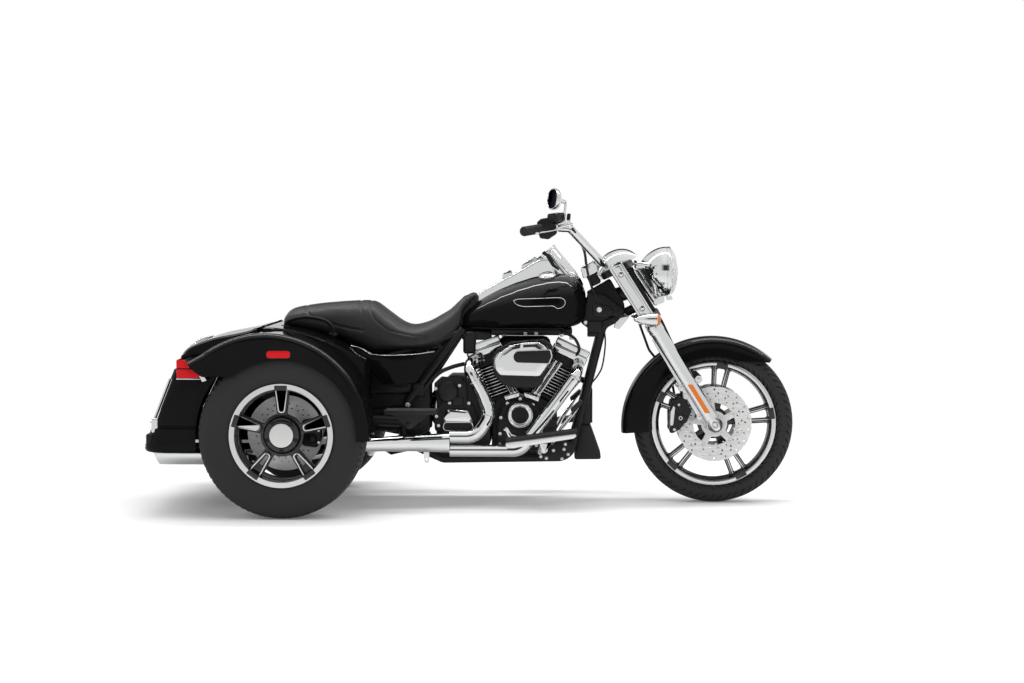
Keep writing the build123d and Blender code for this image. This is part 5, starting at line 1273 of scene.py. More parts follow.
def air_cleaner():
    shell, insert, rim, back, dark = (Shape() for _ in range(5))
    cover = [(98, 612), (146, 646), (202, 658), (262, 661), (290, 644), (306, 622), (302, 570), (286, 544), (268, 518)]
    smooth = rounded([*cover, (104, 523), (84, 548), (80, 584)], 20, closed=True, step=8)
    rows = []
    for y, scale in (
        (-196, 1.0), (-250, 1.0), (-266, 0.99), (-276, 0.965), (-285, 0.94), (-286.6, 0.92), (-286.6, 0.6),
        (-286.6, 0.02),
    ):
        rows.append([Vector((191 + (x - 191) * scale, y, 588 + (z - 588) * scale)) for x, z in smooth])
    shell.grid(rows, ring=True).piece("air_cleaner_cover", "chrome", "root", "air_cleaner", "chrome", 50)
    pill = rounded([(162, 620), (304, 624), (309, 600), (298, 574), (162, 577)], [21, 6, 8, 6, 21], closed=True)
    insert.plate([pill], -290, -278, 2.5).piece("air_cleaner_insert", "satin_black")
    grown = [(159, 624), (308, 628.5), (313.5, 600), (301, 570), (159, 573)]
    rim.plate([rounded(grown, [24, 7, 9, 7, 24], closed=True), pill], -289, -278, 1)
    rim.piece("air_cleaner_rim", "polished")
    plate = [(72, 584), (84, 520), (112, 488), (150, 474), (252, 470), (272, 486), (300, 560), (318, 590), (312, 640)]
    back.panel([*plate, (280, 664), (150, 654), (92, 622)], 16, -212, -150, 5)
    back.pipe([(207, -60, 545), (207, -155, 545)], 28, sides=32)
    for x in (142, 272):
        back.pipe([(207, -60, 545), ((207 + x) / 2, -40, 548), (x, -20, 556)], 20, bend=20, sides=28)
    back.piece("air_cleaner_backplate", "engine_black")
    dark.panel([(84, 590), (112, 606), (122, 590), (118, 566), (104, 552), (86, 560)], 6, -263, -246, 2)
    dark.piece("air_cleaner_notch", "satin_black")


def transmission():
    case, bright, plate, screws = (Shape() for _ in range(4))
    case.panel([(-150, 234), (66, 234), (66, 356), (20, 420), (-8, 512), (-96, 512), (-148, 470)], 14, -126, 126, 5)
    cover = [(-156, 300), (-140, 284), (18, 290), (24, 320), (-2, 400), (-26, 420), (-28, 486), (-46, 504)]
    case.panel([*cover, (-128, 512), (-158, 484), (-152, 430), (-120, 412), (-160, 372)], 12, -139, -120, 4)
    case.lathe([(0, 44), (8, 43), (14, 38), (16, 34), (16, 0)], (-104, -136, 452), RIGHT, 56)
    case.panel([(-84, 398), (-42, 398), (-42, 430), (-84, 430)], 5, -150, -132, 3)
    rows = []
    for y, grow in ((-132, 2), (-150, 2), (-164, 0), (-169, -3), (-171, -10)):
        corners = [(-104 - grow, 384 + grow), (grow - 20, 380 + grow), (grow, 330 - grow), (-124 - grow, 330 - grow)]
        rows.append([Vector((x, y, z)) for x, z in rounded(corners, 8, closed=True, step=20)])
    bright.grid(rows, ring=True, caps=True)
    pill = rounded([(-122, 296), (-4, 296), (2, 314), (-4, 333), (-122, 333)], [14, 14, 6, 12, 14], closed=True)
    bright.plate([pill], -174, -150, 3)
    plate.plate([[(-60 + (x + 60) * 0.93, 314.5 + (z - 314.5) * 0.78) for x, z in pill]], -176.5, -170, 1.2)
    places = [(-151, 464), (-56, 476), (-96, 407), (-19, 406), (-148, 353), (-140, 316), (15, 313)]
    screws_at(screws, places, -138, 7.5, 7)
    case.piece("transmission_case", "engine_black", "root", "transmission", "black_engine")
    bright.piece("transmission_side_cover", "chrome")
    plate.piece("transmission_cover_panel", "satin_black")
    screws.piece("transmission_screws", "steel", "root", None, "polished_steel")


def primary():
    cover, screws = Shape(), Shape()
    outline = [(185 + x, 358 + z) for x, z in ring_arc(117, 90, -84, 6)]
    outline += [(-92 + x, 370 + z) for x, z in ring_arc(105, -94, -266, 6)]
    rows = []
    for y, scale in ((130.3, 1), (150, 1), (176, 0.985), (186, 0.95), (190, 0.9), (191, 0.8), (191, 0.05)):
        shrink = 1 - (1 - scale) * 0.6
        rows.append([Vector((46 + (x - 46) * shrink, y, 362 + (z - 362) * scale)) for x, z in outline])
    cover.grid(rows, ring=True)
    cover.lathe([(-6, 66), (3, 66), (6, 63), (6.4, 56), (4.6, 54), (4.6, 0)], (-78, 190, 370), Y, 72)
    cover.lathe([(-6, 40), (3, 40), (5.6, 37), (6, 0)], (196, 190, 358), Y, 56)
    for x, z, radius, first, turn, y, size in ((-78, 370, 58, 18, 72, 196, 5), (196, 358, 31, 30, 120, 195.6, 4)):
        places = [polar(radius, 0, angle) for angle in spokes(first, turn)]
        screws_at(screws, [(x + dx, z + dz) for dx, dz in places], y, size, 3, Y)
    places = [(-185, 370), (-140, 452), (-40, 462), (60, 464), (160, 466), (280, 400), (286, 320), (220, 250)]
    screws_at(screws, [*places, (120, 252), (20, 256), (-80, 272), (-158, 306)], 183, 6, 6, Y)
    cover.piece("primary_cover_shell", "chrome", "root", "primary_cover", "chrome", 35)
    screws.piece("primary_screws", "steel", "root", None, "polished_steel")


def oil_cooler():
    case, grille = Shape(), Shape()
    case.pipe([(448, 40, 452), (446, 44, 486), (420, 60, 496), (372, 84, 440)], 9, bend=22, sides=16).mirrored()
    case.panel([(399, 176), (508, 177), (506, 200), (466, 312), (426, 316), (415, 260)], 9, -86, 86, 5)
    case.panel([(424, 312), (466, 312), (468, 420), (458, 458), (438, 461), (426, 430)], 9, -68, 68, 5)
    for k in range(24):
        z = 326 + 5.4 * k
        grille.block((464, -60, z), (472, 60, z + 2), 0.6)
    for y in range(-64, 57, 20):
        case.block((466, y, 322), (473.5, y + 4, 456), 1)
    case.piece("oil_cooler_shroud", "plastic", "root", "oil_cooler", "black_plastic")
    grille.piece("oil_cooler_fins", "satin_black")


for build in (cylinders, pushrods, crankcase, air_cleaner, transmission, primary, oil_cooler):
    build()

# ---------------------------------------------------------------- seat

seat_table = [  # X, half width, bottom and top
    (-765, 84, 724, 737), (-763, 96, 719, 746), (-755, 108, 715, 758), (-733, 121, 710, 775), (-700, 129, 702, 785),
    (-621, 133, 684, 797), (-540, 136, 662, 804.5), (-500, 140, 645, 807), (-461, 146, 626, 809),
    (-430, 153, 611, 809.5), (-405, 159, 602, 807), (-385, 162, 600.5, 798), (-365, 164, 601, 783),
    (-325, 165, 603, 752), (-290, 165, 606, 727), (-253, 165, 609, 713), (-215, 164, 612, 716),
    (-173, 155, 618, 730), (-135, 135, 624, 751), (-97, 115, 645, 774),
    (-70, 102, 668, 799), (-54, 93, 706, 814), (-50, 90, 764, 818), (-33, 80, 786, 834), (-15, 70, 807, 843.5),
    (-5, 63, 819, 846), (4, 52, 828, 844), (9, 40, 833, 840), (11, 30, 835, 837.5),
]
seat_seams = [  # points in the side view, and the depth
    ([(-676, 790), (-663, 766), (-640, 750), (-556, 718), (-500, 704), (-443, 695)], 3.0),
    ([(-465, 830), (-452, 792), (-443, 765), (-440, 736), (-442, 696)], 3.6),
    (
        [(-420, 830), (-410, 780), (-392, 742), (-368, 720), (-334, 698), (-290, 686), (-250, 678), (-195, 665),
         (-128, 632)],
        3.6,
    ),
]
SEAT_LEVEL, SEAT_LEAN = 0.45, 0.10  # widest level as a share of the height, and how far the sides lean in
CLOTH_STEPS, CLOTH_CELL = 20, 0.006  # frames, and metres


def coordinates(mesh, what="co"):
    values = np.empty(len(mesh.vertices) * 3)
    mesh.vertices.foreach_get(what, values)
    return values.reshape(-1, 3)


def inflate(obj, limit):
    """Let a padded cover settle under pressure, moving no more than limit millimetres."""
    even = obj.modifiers.new("even", "REMESH")
    even.mode = "VOXEL"
    even.voxel_size = CLOTH_CELL
    apply_modifiers(obj)
    before = coordinates(obj.data)
    settings = obj.modifiers.new("cover", "CLOTH").settings
    settings.use_pressure = True
    settings.uniform_pressure_force = 4
    settings.effector_weights.gravity = 0
    settings.quality = 4
    scene = bpy.context.scene
    for number in range(1, CLOTH_STEPS + 1):
        scene.frame_set(number)
    apply_modifiers(obj)
    scene.frame_set(1)
    step = coordinates(obj.data) - before
    size = np.linalg.norm(step, axis=1, keepdims=True)
    step *= np.minimum(1, limit * MM / np.maximum(size, 1e-9))
    obj.data.vertices.foreach_set("co", (before + step).ravel())
    smooth = obj.modifiers.new("smooth", "SUBSURF")
    smooth.levels = smooth.render_levels = 1
    apply_modifiers(obj)


def cut_seams(obj, seams, width, centre_z):
    """Press sewn seams, given as lines in the side view, into both sides of a cover."""
    points, normals = coordinates(obj.data) / MM, coordinates(obj.data, "normal")
    for line, depth in seams:
        line = np.array([tuple(p) for p in smooth_line([(x, 0, z) for x, z in line])])[:, (0, 2)]
        near = np.full(len(points), 1e9)
        for a, b in zip(line[:-1], line[1:]):
            along = b - a
            share = np.clip(((points[:, (0, 2)] - a) @ along) / (along @ along), 0, 1)
            near = np.minimum(near, np.linalg.norm(points[:, (0, 2)] - a - share[:, None] * along, axis=1))
        upper = np.clip((points[:, 2] - centre_z) / 30, 0, 1)
        points -= normals * (depth * upper * np.exp(-((near / width) ** 2)))[:, None]
    obj.data.vertices.foreach_set("co", (points * MM).ravel())
    obj.data.update()


def seat():
    def line(column, per_span):
        return np.array([tuple(p)[:2] for p in smooth_line([(row[0], row[column], 0) for row in seat_table], per_span)])

    halves, lows, tops = line(1, 1), line(2, 1), line(3, 5)
    rows = []
    for x in sorted({-765, -764, -763, -761, -758, 6, 8, 10, 11, *range(-755, 5, 3)}):
        half, low, top = (float(np.interp(x, values[:, 0], values[:, 1])) for values in (halves, lows, tops))
        level = low + SEAT_LEVEL * (top - low)
        rows.append(egg_section(x, half, low, top, level, (3.0, 3.6), 140, SEAT_LEAN))
    shape = Shape().grid(rows, ring=True, caps=True)
    obj = shape.piece("seat_cover", "leather", "root", "seat", "black_leather", 60)
    inflate(obj, 2.5)
    cut_seams(obj, seat_seams, 4.2, 660)
    obj.data.shade_smooth()
    path = []
    for p in smooth_line([(x, 0, z) for x, z in seat_seams[2][0][1:]]):
        half, low, top = lerp_table(seat_table, p.x)
        level = low + SEAT_LEVEL * (top - low)
        rise = min(0.995, max(0.0, (p.z - level) / (top - level)))
        path.append((p.x, half * (1 - SEAT_LEAN * rise) * (1 - rise**3) ** (1 / 3) - 2.4, p.z))
    Shape().pipe(path, 1.6, sides=8).mirrored().piece("seat_piping", "leather")


seat()

# ---------------------------------------------------------------- exhaust

PIPE_Y, MUFFLER_Y, MUFFLER_Z = -215, 385, 226


def oval(turn, radius, flat):
    """Offsets aside and up on a section of two half circles that stand a flat apart."""
    return radius * math.cos(turn), radius * math.sin(turn) + math.copysign(flat, math.sin(turn))


def exhaust():
    pipes, clamps, dark = Shape(), Shape(), Shape()
    rear = [(25, -60, 588), (-27, PIPE_Y, 560), (32, PIPE_Y, 456), (69, PIPE_Y, 366), (13, PIPE_Y, 277)]
    rear = rounded([*rear, (-92, PIPE_Y, 277)], [0, 50, 60, 80, 70, 0], step=7)
    front = [(413, -52, 568), (415, PIPE_Y, 530), (241, PIPE_Y, 297), (189, PIPE_Y, 223), (-92, PIPE_Y, 223)]
    front = rounded(front, [0, 45, 100, 60, 0], step=7)
    # The shields start a share of the way along each pipe
    for line, start, grow, run in ((rear, 0.28, 3.0, 0.04), (front, 0.22, 2.0, 0.03)):
        pipes.pipe(line, lambda s: 20 if s < start else 22 + grow * min(1, (s - start) / run), sides=40)
    line = rounded([(-92, PIPE_Y, 254), (-245, PIPE_Y, 253), (-450, -300, 252), (-640, -385, 226)], 100, step=5)
    turns = np.radians(np.arange(2.5, 362.5, 5))
    rows = []
    for p in [line[0].lerp(line[1], k / 20) for k in range(20)] + line[1:]:
        flat = 13 * (1 - min(1.0, (-92 - p.x) / 330))
        rows.append([p + Vector((0, *oval(turn, 26, flat))) for turn in turns])
    pipes.grid(rows, ring=True, caps=True)
    far = [(-388, -272, 252), (-410, -130, 220), (-410, 130, 220), (-460, 300, 226), (-640, 385, 226)]
    pipes.pipe(far, 26, bend=60, sides=32)
    pipes.piece("exhaust_pipes", "chrome", "root", "exhaust_headers", "chrome", 50)
    joint = [oval(turn, 27, 13) for turn in turns]
    dark.grid([[Vector((x, PIPE_Y + y, 254 + z)) for y, z in joint] for x in (-90.8, -92.2)], ring=True)
    dark.piece("exhaust_joint_line", "satin_black")
    # Ports, joint bands and the heat shield's clamps
    for start, end in (((25, -62, 588), (-4, -148, 574)), ((413, -54, 568), (414, -150, 546))):
        way = Vector(end) - Vector(start)
        long = way.length
        clamps.lathe([(0, 29), (long * 0.35, 29), (long * 0.4, 25), (long, 24), (long, 18)], start, way, 40)
    for here, share in ((rear, 0.40), (rear, 0.62), (front, 0.36), (front, 0.60)):
        index = int(share * (len(here) - 1))
        way = here[index + 1] - here[index]
        clamps.lathe([(-4, 24), (-4, 27), (-3, 27.8), (3, 27.8), (4, 27), (4, 24)], here[index] + way * 0.3, way, 48)
    index = min(range(len(line)), key=lambda k: abs(line[k].x + 404))
    way = (line[min(index + 1, len(line) - 1)] - line[max(index - 1, 0)]).normalized()
    clamps.lathe([(-4, 25), (-4, 29), (-2, 30.5), (2, 30.5), (4, 29), (4, 25)], line[index], way, 56)
    tab = rounded([(-196, 222), (-172, 222), (-172, 176), (-190, 176)], 6, closed=True)
    clamps.plate([tab, circle(-182, 190, 5, 20)], -238, -234, 1).piece("exhaust_bands", "polished")


def mufflers():
    body, inside = Shape(), Shape()

    def ring(x, radius, cut=None):
        """A ring at x, or on the slanted cut of the outlet and a little behind it."""
        points = []
        for c, s in circle(0, 0, 1, 72):
            z = MUFFLER_Z + radius * s
            here = x if cut is None else -1210.5 - (z - (MUFFLER_Z - 43)) * 0.41 + cut
            points.append(Vector((here, MUFFLER_Y + radius * c, z)))
        return points

    rows = [ring(x, r) for x, r in ((-620, 30), (-628, 33), (-650, 39), (-676, 42.4), (-700, 43), (-1120, 43))]
    rows += [ring(0, 43, 1.6), ring(0, 42.4, 0), ring(0, 40.6, 0), ring(0, 40, 1.6), ring(-1100, 40)]
    body.grid(rows, ring=True)
    body.lathe([(-8, 43), (-8, 45), (-6, 46), (6, 46), (8, 45), (8, 43)], (-668, MUFFLER_Y, MUFFLER_Z), X)
    body.mirrored().piece("muffler_bodies", "chrome", "root", "mufflers", "chrome", 50)
    inside.grid([ring(-1120, 39.8), ring(-1100, 39.8), ring(-1100, 0.2)], ring=True)
    inside.panel([(-760, 262), (-700, 262), (-712, 320), (-748, 320)], 6, MUFFLER_Y - 5, MUFFLER_Y + 5, 1.5)
    inside.mirrored().piece("muffler_insides", "satin_black")


exhaust()
mufflers()

# ---------------------------------------------------------------- rear fenders, body and lamps

crest_x, crest_z, crest_r = rear_x - 57, 314, 394
fender_side, fender_inner, arch = 687.3, 441, 287


def fender_paths():
    """Matching points along the crown and along the lower edge of a rear fender's side, in the side view."""
    crest_join = math.pi - math.acos(235 / crest_r)
    arch_join = math.pi - math.asin((543 - rear_z) / arch)
    paths = []
    for x, z, radius, join, end in (
        (crest_x, crest_z, crest_r, crest_join, (rear_x - 350, 0, 598.5)),
        (rear_x, rear_z, arch, arch_join, (rear_x - 293, 0, 543)),
    ):
        low = math.asin((300 - z) / radius)
        turns = [low + (join - low) * k / 60 for k in range(61)]
        path = [Vector((x + radius * math.cos(turn), 0, z + radius * math.sin(turn))) for turn in turns]
        paths.append(path + [path[-1].lerp(Vector(end), k / 12) for k in range(1, 13)])
    return paths


def outward(line, index):
    """The way out of a line in the side view, up where it can be."""
    along = (line[min(index + 1, len(line) - 1)] - line[max(index - 1, 0)]).normalized()
    return Vector((along.z, 0, -along.x))


def rear_fender(name, side):
    crown, edge = fender_paths()
    rows, radius, drop = [], 24, 0.9
    for k, (top, low) in enumerate(zip(crown, edge)):
        out = outward(crown, k)
        if (out.z if k > 10 else out.x) < 0:
            out = -out
        row = []
        for y in (fender_inner, 500, 560, 610, fender_side - radius - 14):
            share = (y - fender_inner) / (fender_side - fender_inner)
            row.append(top - out * drop * share + Vector((0, side * y, 0)))
        centre = top - out * (radius + drop) + Vector((0, side * (fender_side - radius), 0))
        row += [centre + out * radius * c + Vector((0, side * radius * s, 0)) for c, s in quarter(8)]
        start, finish = centre + Vector((0, side * radius, 0)), low + Vector((0, side * fender_side, 0))
        for share in (0.12, 0.3, 0.5, 0.7, 0.85, 0.94):
            swell = 0.8 * math.sin(math.pi * share)
            row.append(start.lerp(finish, share) + Vector((0, side * swell, 0)))
        up = (top - low).normalized()
        for back, inset in ((7, 0.0), (3.2, 0.4), (0.8, 2.2), (0, 5), (0, 12)):
            row.append(finish + up * back - Vector((0, side * inset, 0)))
        rows.append(row)
    skin = Shape().grid(rows)
    skin = skin.piece(f"rear_fender_skin_{name}", "body_paint", "root", f"rear_fender_{name}", "black_paint")
    solidify(skin, 4)
    # Inner wall beside the trunk
    wall = [(p.x, p.z) for p in crown] + [(rear_x - 293, 543), (rear_x - 180, 543)]
    wall = [(crest_x + (x - crest_x) * 0.985, crest_z + (z - crest_z) * 0.985) for x, z in wall]
    wall += [(rear_x + x, rear_z + z) for x, z in (polar(270, 0, angle) for angle in range(124, -5, -4))]
    Shape().plate([wall], side * 441, side * 446, 1).piece(f"rear_fender_liner_{name}", "plastic")


def side_markers():
    lens, rim = Shape(), Shape()
    outline = rounded([(-758, 614.5), (-669, 614.5), (-669, 641.5), (-758, 641.5)], 11, closed=True)
    grown = rounded([(-760.5, 612), (-666.5, 612), (-666.5, 644), (-760.5, 644)], 13, closed=True)
    lens.plate([outline], 684, 690, 1.8).mirrored().piece("side_marker_lenses", "red")
    rim.plate([grown, outline], 684, 689.4, 0.6).mirrored().piece("side_marker_rims", "satin_black")


def spread(half, count, power):
    """Places across from -half to half, closer together towards the ends."""
    shares = [-1 + 2 * k / count for k in range(count + 1)]
    return [half * math.copysign(1 - (1 - abs(share)) ** power, share) for share in shares]


def trunk():
    top = [(298, 588), (292, 594), (225, 632), (150, 667), (60, 697), (-10, 711), (-60, 717), (-92, 717.5)]
    line = smooth_line([(rear_x + x, 0, z) for x, z in top], 8)
    across = spread(440, 48, 1.15)
    rows = [[Vector((p.x, y, p.z - 5 * max(0, (abs(y) - 380) / 60) ** 2)) for y in across] for p in line]
    deck = Shape().grid(rows)
    front = [(298, line[0].z), (299, 560), (299, 426), (280, 424)]
    deck.grid([[Vector((rear_x + x, y, z)) for y in np.linspace(-440, 440, 9)] for x, z in front])
    solidify(deck.piece("trunk_deck_skin", "body_paint"), 2)


def trunk_lid():
    hinges, latch = Shape(), Shape()
    top = [(-119, 716.5), (-130, 714), (-154, 704), (-220, 689), (-292, 673), (-360, 650), (-417, 627)]
    top += [(-442, 610.5), (-455, 592), (-466, 573)]
    line = smooth_line([(rear_x + x, 0, z) for x, z in top], 6)
    rows = []
    for index, p in enumerate(line):
        out = outward(line, index)
        if out.z < 0:
            out = -out
        row = []
        bulge = math.sin(math.pi * min(1, index / (len(line) - 1)))
        sweep = 58 * min(1.0, max(0.0, (-900 - p.x) / 276)) ** 1.3
        for y in spread(425, 56, 1.2):
            edge = max(0, (abs(y) - 405) / 20)
            crown = 9 * bulge * max(0, 1 - (y / 330) ** 2) ** 2
            back = sweep * (y / 425) ** 2
            row.append(p + out * (crown - 6 * edge**2) + Vector((back, y, 0.42 * back)))
        rows.append([row[0] - out * 15, *row, row[-1] - out * 15])
    rows.append([p - Vector((-6, 0, 14)) for p in rows[-1]])
    lid = Shape().grid(rows)
    solidify(lid.piece("trunk_lid_skin", "body_paint", "trunk_lid", "trunk_lid", "black_paint"), 6)
    hinges.lathe([(0, 6), (0, 9), (42, 9), (42, 6)], (-818, 254, 712), Y, 32)
    hinges.block((-838, 254, 702), (-822, 296, 711), 1.5)
    hinges.mirrored().piece("lid_hinge_knuckles", "satin_black", "trunk_lid")
    profile = [(-6, 17), (3, 17), (6, 15.5), (7.5, 12), (7.5, 10.5), (6.4, 9.6), (6.4, 0)]
    latch.lathe(profile, (-1138, 0, 627.5), (-0.42, 0, 0.907), 48)
    latch.pipe([(-1128, 0, 636), (-1108, 0, 646), (-1078, 0, 656), (-1056, 0, 661)], 7, squash=1.8)
    latch.piece("lid_latch", "chrome", "trunk_lid")


fascia_face = [(246, -549), (254, -546), (299, -527), (408, -484), (520, -440), (565, -422)]  # height, X
FASCIA_HALF, CORNER = 600, 62


def fascia_x(z):
    return rear_x + lerp_table(fascia_face, z)[0]


def fascia():
    rows = []
    for z in (
        246, 247, 250, 256, 264, 274, 290, 310, 330, 338, 342, 346, 350, 380, 420, 460, 500, 530, 550, 562, 565,
    ):
        inset = 0.0
        if z < 274:
            inset = 26 * (1 - math.sqrt(max(0.0, 1 - ((274 - z) / 28) ** 2)))
        if z > 338:
            inset = 3.0 if z > 346 else 7.0
        x = fascia_x(z) + inset
        half = FASCIA_HALF - inset * (0.5 if z < 274 else 1)
        radius = float(np.interp(z, [250, 300, 345, 390], [200, 185, 100, CORNER]))
        start = rear_x - math.sqrt(max(0.0, 331**2 - max(0.0, z - rear_z) ** 2))
        ring = rounded([(start, -half), (x, -half), (x, half), (start, half)], [0, radius, radius, 0], step=7)
        full = [ring[0], ring[0].lerp(ring[1], 0.5), *ring[1:-1], ring[-1].lerp(ring[-2], 0.5), ring[-1]]
        # The long rear face gets points of its own, so that it can rise over the mufflers
        split = max(range(len(full) - 1), key=lambda i: (full[i + 1] - full[i]).length)
        full[split + 1 : split + 1] = [full[split].lerp(full[split + 1], k / 60) for k in range(1, 60)]
        row = []
        for px, py in full:
            lift = 0.0
            near = abs(abs(py) - MUFFLER_Y)
            if near < 56 and px < rear_x - 400:
                need = MUFFLER_Z + math.sqrt(56**2 - near**2)
                lift = max(0.0, need - 246) * max(0.0, 1 - (z - 246) / 90)
            row.append(Vector((px + 0.4 * lift, py, z + lift)))
        rows.append(row)
    skin = Shape().grid(rows)
    solidify(skin.piece("rear_fascia_skin", "body_paint", "root", "rear_fascia", "black_paint"), 4)
    trim, bracket = Shape(), Shape()
    for aside, lift, radius in ((556, 1.5, 4.2), (568, -6, 2.6)):
        deep = max(0.0, aside - (FASCIA_HALF - CORNER))
        back = CORNER - math.sqrt(max(0.0, CORNER**2 - deep**2))
        trim.pipe([(fascia_x(z) + back - lift + 1, aside, z) for z in range(374, 540, 14)], radius, sides=14)
    trim.block((-1214, 544, 322), (-1188, 570, 378), 5)
    for x, z in ((-1216, 364), (-1214, 334)):
        trim.bolt((x, 557, z), (-1, 0, 0.3), 5, 4)
    trim.pipe([(-1010, 601, 424), (-951, 601, 546)], 1.6, sides=10)
    bracket.block((-1236, 500, 256), (-1200, 566, 318), 7)
    for z in (270, 288, 306):
        trim.pipe([(-1237, 506, z), (-1237, 560, z)], 2.2, sides=10)
    trim.mirrored().piece("fascia_trim", "chrome")
    bracket.mirrored().piece("fascia_corner_brackets", "satin_black")


def tail_lights():
    lens, dark, rim = Shape(), Shape(), Shape()
    upper = [(-394, 606), (-366, 606), (-331, 574), (-394, 574)]
    lower = [(-394, 570), (-327, 570), (-305, 550), (-301, 536), (-392, 536)]
    for side in sides:
        for points in (upper, lower):
            lens.panel([(rear_x + x, z) for x, z in points], 4, side * 472, side * 650, 3)
    lens.piece("tail_lamp_lenses", "red", "root", "tail_lamps", "red_lens", 30)
    outline = [(-391, 606), (-363, 606), (-308, 550), (-304, 532), (-389, 532)]
    dark.plate([outline], 474, 646, 2, at=(rear_x, 0)).mirrored().piece("tail_lamp_housings", "satin_black")
    foot = [(rear_x - 393, 474, 533), (rear_x - 393, 648, 533), (rear_x - 304, 648, 533)]
    rim.pipe(foot, 2.4, bend=6, sides=12)
    rim.panel([(-1018, 546), (-1000, 546), (-988, 528), (-1006, 522)], 3, 640, 652)
    rim.mirrored().piece("tail_lamp_rims", "chrome")
    Shape().block((-1268, -46, 354), (-1240, 46, 374), 5).piece("plate_lamp", "chrome")


for name, side in (("right", -1), ("left", 1)):
    rear_fender(name, side)
for build in (side_markers, trunk, trunk_lid, fascia, tail_lights):
    build()

# ---------------------------------------------------------------- rear axle and shocks


def axle():
    housing, arms, calipers, screws = (Shape() for _ in range(4))
    half = [(24, 107), (60, 98), (86, 78), (100, 52), (120, 40), (430, 38), (442, 34)]
    housing.lathe([(-a, b) for a, b in half[::-1]] + [(0, 108)] + half, (rear_x, 0, rear_z), Y, 72)
    housing.lathe([(98, 60), (104, 60), (108, 54), (108, 0)], (rear_x + 6, 0, rear_z), (-1, 0, 0), 56)
    arms.pipe([(rear_x, 205, 318), (rear_x + 160, 190, 350), (-246, 183, 335)], 22, bend=80, sides=28)
    arms.lathe([(0, 10), (0, 24), (34, 24), (34, 10)], (-246, 166, 335), Y, 32)
    arms.lathe([(-16, 44), (16, 44), (20, 38), (20, 0)], (rear_x, 205, 318), Y, 40)
    body = [(66, 270), (122, 262), (142, 296), (140, 350), (118, 378), (66, 368)]
    calipers.panel(body, 12, 462, 516, 5, at=(rear_x, 0))
    for z in (296, 342):
        calipers.lathe([(-2, 20), (4, 20), (7, 16), (7, 0)], (rear_x + 104, 516, z), Y, 32)
        screws.bolt((rear_x + 130, 516, z - 14), Y, 5.5, 6)
    calipers.panel([(-60, 263), (110, 263), (110, 373), (-60, 373)], 20, 442, 462, 3, at=(rear_x, 0))
    screws.mirrored()
    for y, z in circle(0, 0, 50, 10):
        screws.bolt((rear_x - 100, y, rear_z + z), (-1, 0, 0), 6, 8)
    housing.piece("axle_housing", "satin_black", "root", "rear_axle", "black_frame")
    arms.mirrored().piece("trailing_arms", "satin_black")
    calipers.mirrored().piece("rear_calipers", "engine_black")
    screws.piece("axle_screws", "steel", "root", None, "polished_steel")


def shocks():
    body, coils = Shape(), Shape()
    profile = [(0, 15), (14, 17), (60, 17), (60, 8), (120, 8), (120, 20), (148, 20), (160, 15)]
    turns, per_turn = 7, 20
    # Both springs are wound the same way, so neither is the mirror image of the other
    for side in sides:
        foot, head = Vector((rear_x + 190, side * 196, 384)), Vector((rear_x + 225, side * 196, 541))
        way, matrix = head - foot, frame_along(foot, head - foot)
        body.lathe(profile, foot, way, 40)
        path = []
        for k in range(turns * per_turn + 1):
            x, y = polar(23, 0, 360 * k / per_turn)
            path.append(matrix @ Vector((x, y, 14 + 122 * k / (turns * per_turn))))
        coils.pipe(path, 4.2, sides=10)
    body.piece("shock_bodies", "satin_black", "root", "rear_shocks", "black_frame")
    coils.piece("shock_coils", "steel")


axle()
shocks()

# ---------------------------------------------------------------- footboards, controls, handles and covers


def footboards():
    boards, ribs, chrome = Shape(), Shape(), Shape()
    for (x0, z0), (x1, z1) in (((133, 282), (407, 320)), ((-341, 396), (-135, 396))):
        base = [(x0 + 2, z0 - 18), (x1 - 4, z1 - 18), (x1, z1 - 8), (x1 - 3, z1 - 1.4), (x0 + 3, z0 - 1.4)]
        boards.panel([*base, (x0, z0 - 9)], 3, 273, 387, 3)
        for y in range(282, 379, 12):
            start = Vector((x0 + 8, y, z0 - 1.6))
            ribs.pipe([start, start + Vector((x1 - x0, 0, z1 - z0)) * 0.94], 2.2, sides=10)
        inner, outer = 275, 385
        rim = [(x0 + 2, inner, z0 - 3), (x0 + 2, outer, z0 - 3), (x1 - 2, outer, z1 - 3), (x1 - 2, inner, z1 - 3)]
        boards.pipe(rim, 3.4, bend=18, sides=12)
    chrome.panel([(133, 270), (402, 305), (409, 298), (397, 287), (160, 249), (133, 255)], 4, 382, 388, 1.6)
    chrome.pipe([(265, 156, 206), (265, 250, 222), (281, 318, 268)], 11, bend=30, sides=24)
    chrome.panel([(262, 270), (318, 278), (306, 292), (286, 226), (276, 222)], 5, 322, 334, 2)
    chrome.lathe([(0, 14), (8, 14), (11, 11), (11, 0)], (281, 322, 238), Y, 32)
    web = [(-336, 384), (-140, 384), (-172, 372), (-238, 318), (-252, 318), (-300, 368)]
    boards.panel(web, 8, 322, 334, 2)
    boards.pipe([(-244, 150, 366), (-246, 330, 372)], 11)
    boards.lathe([(0, 15), (10, 15), (13, 11), (13, 0)], (-248, 322, 336), Y, 32)
    boards.mirrored().piece("footboard_pads", "rubber")
    ribs.mirrored().piece("footboard_ribs", "rubber")
    chrome.mirrored().piece("footboard_brackets", "chrome", "root", "footboards", "chrome")


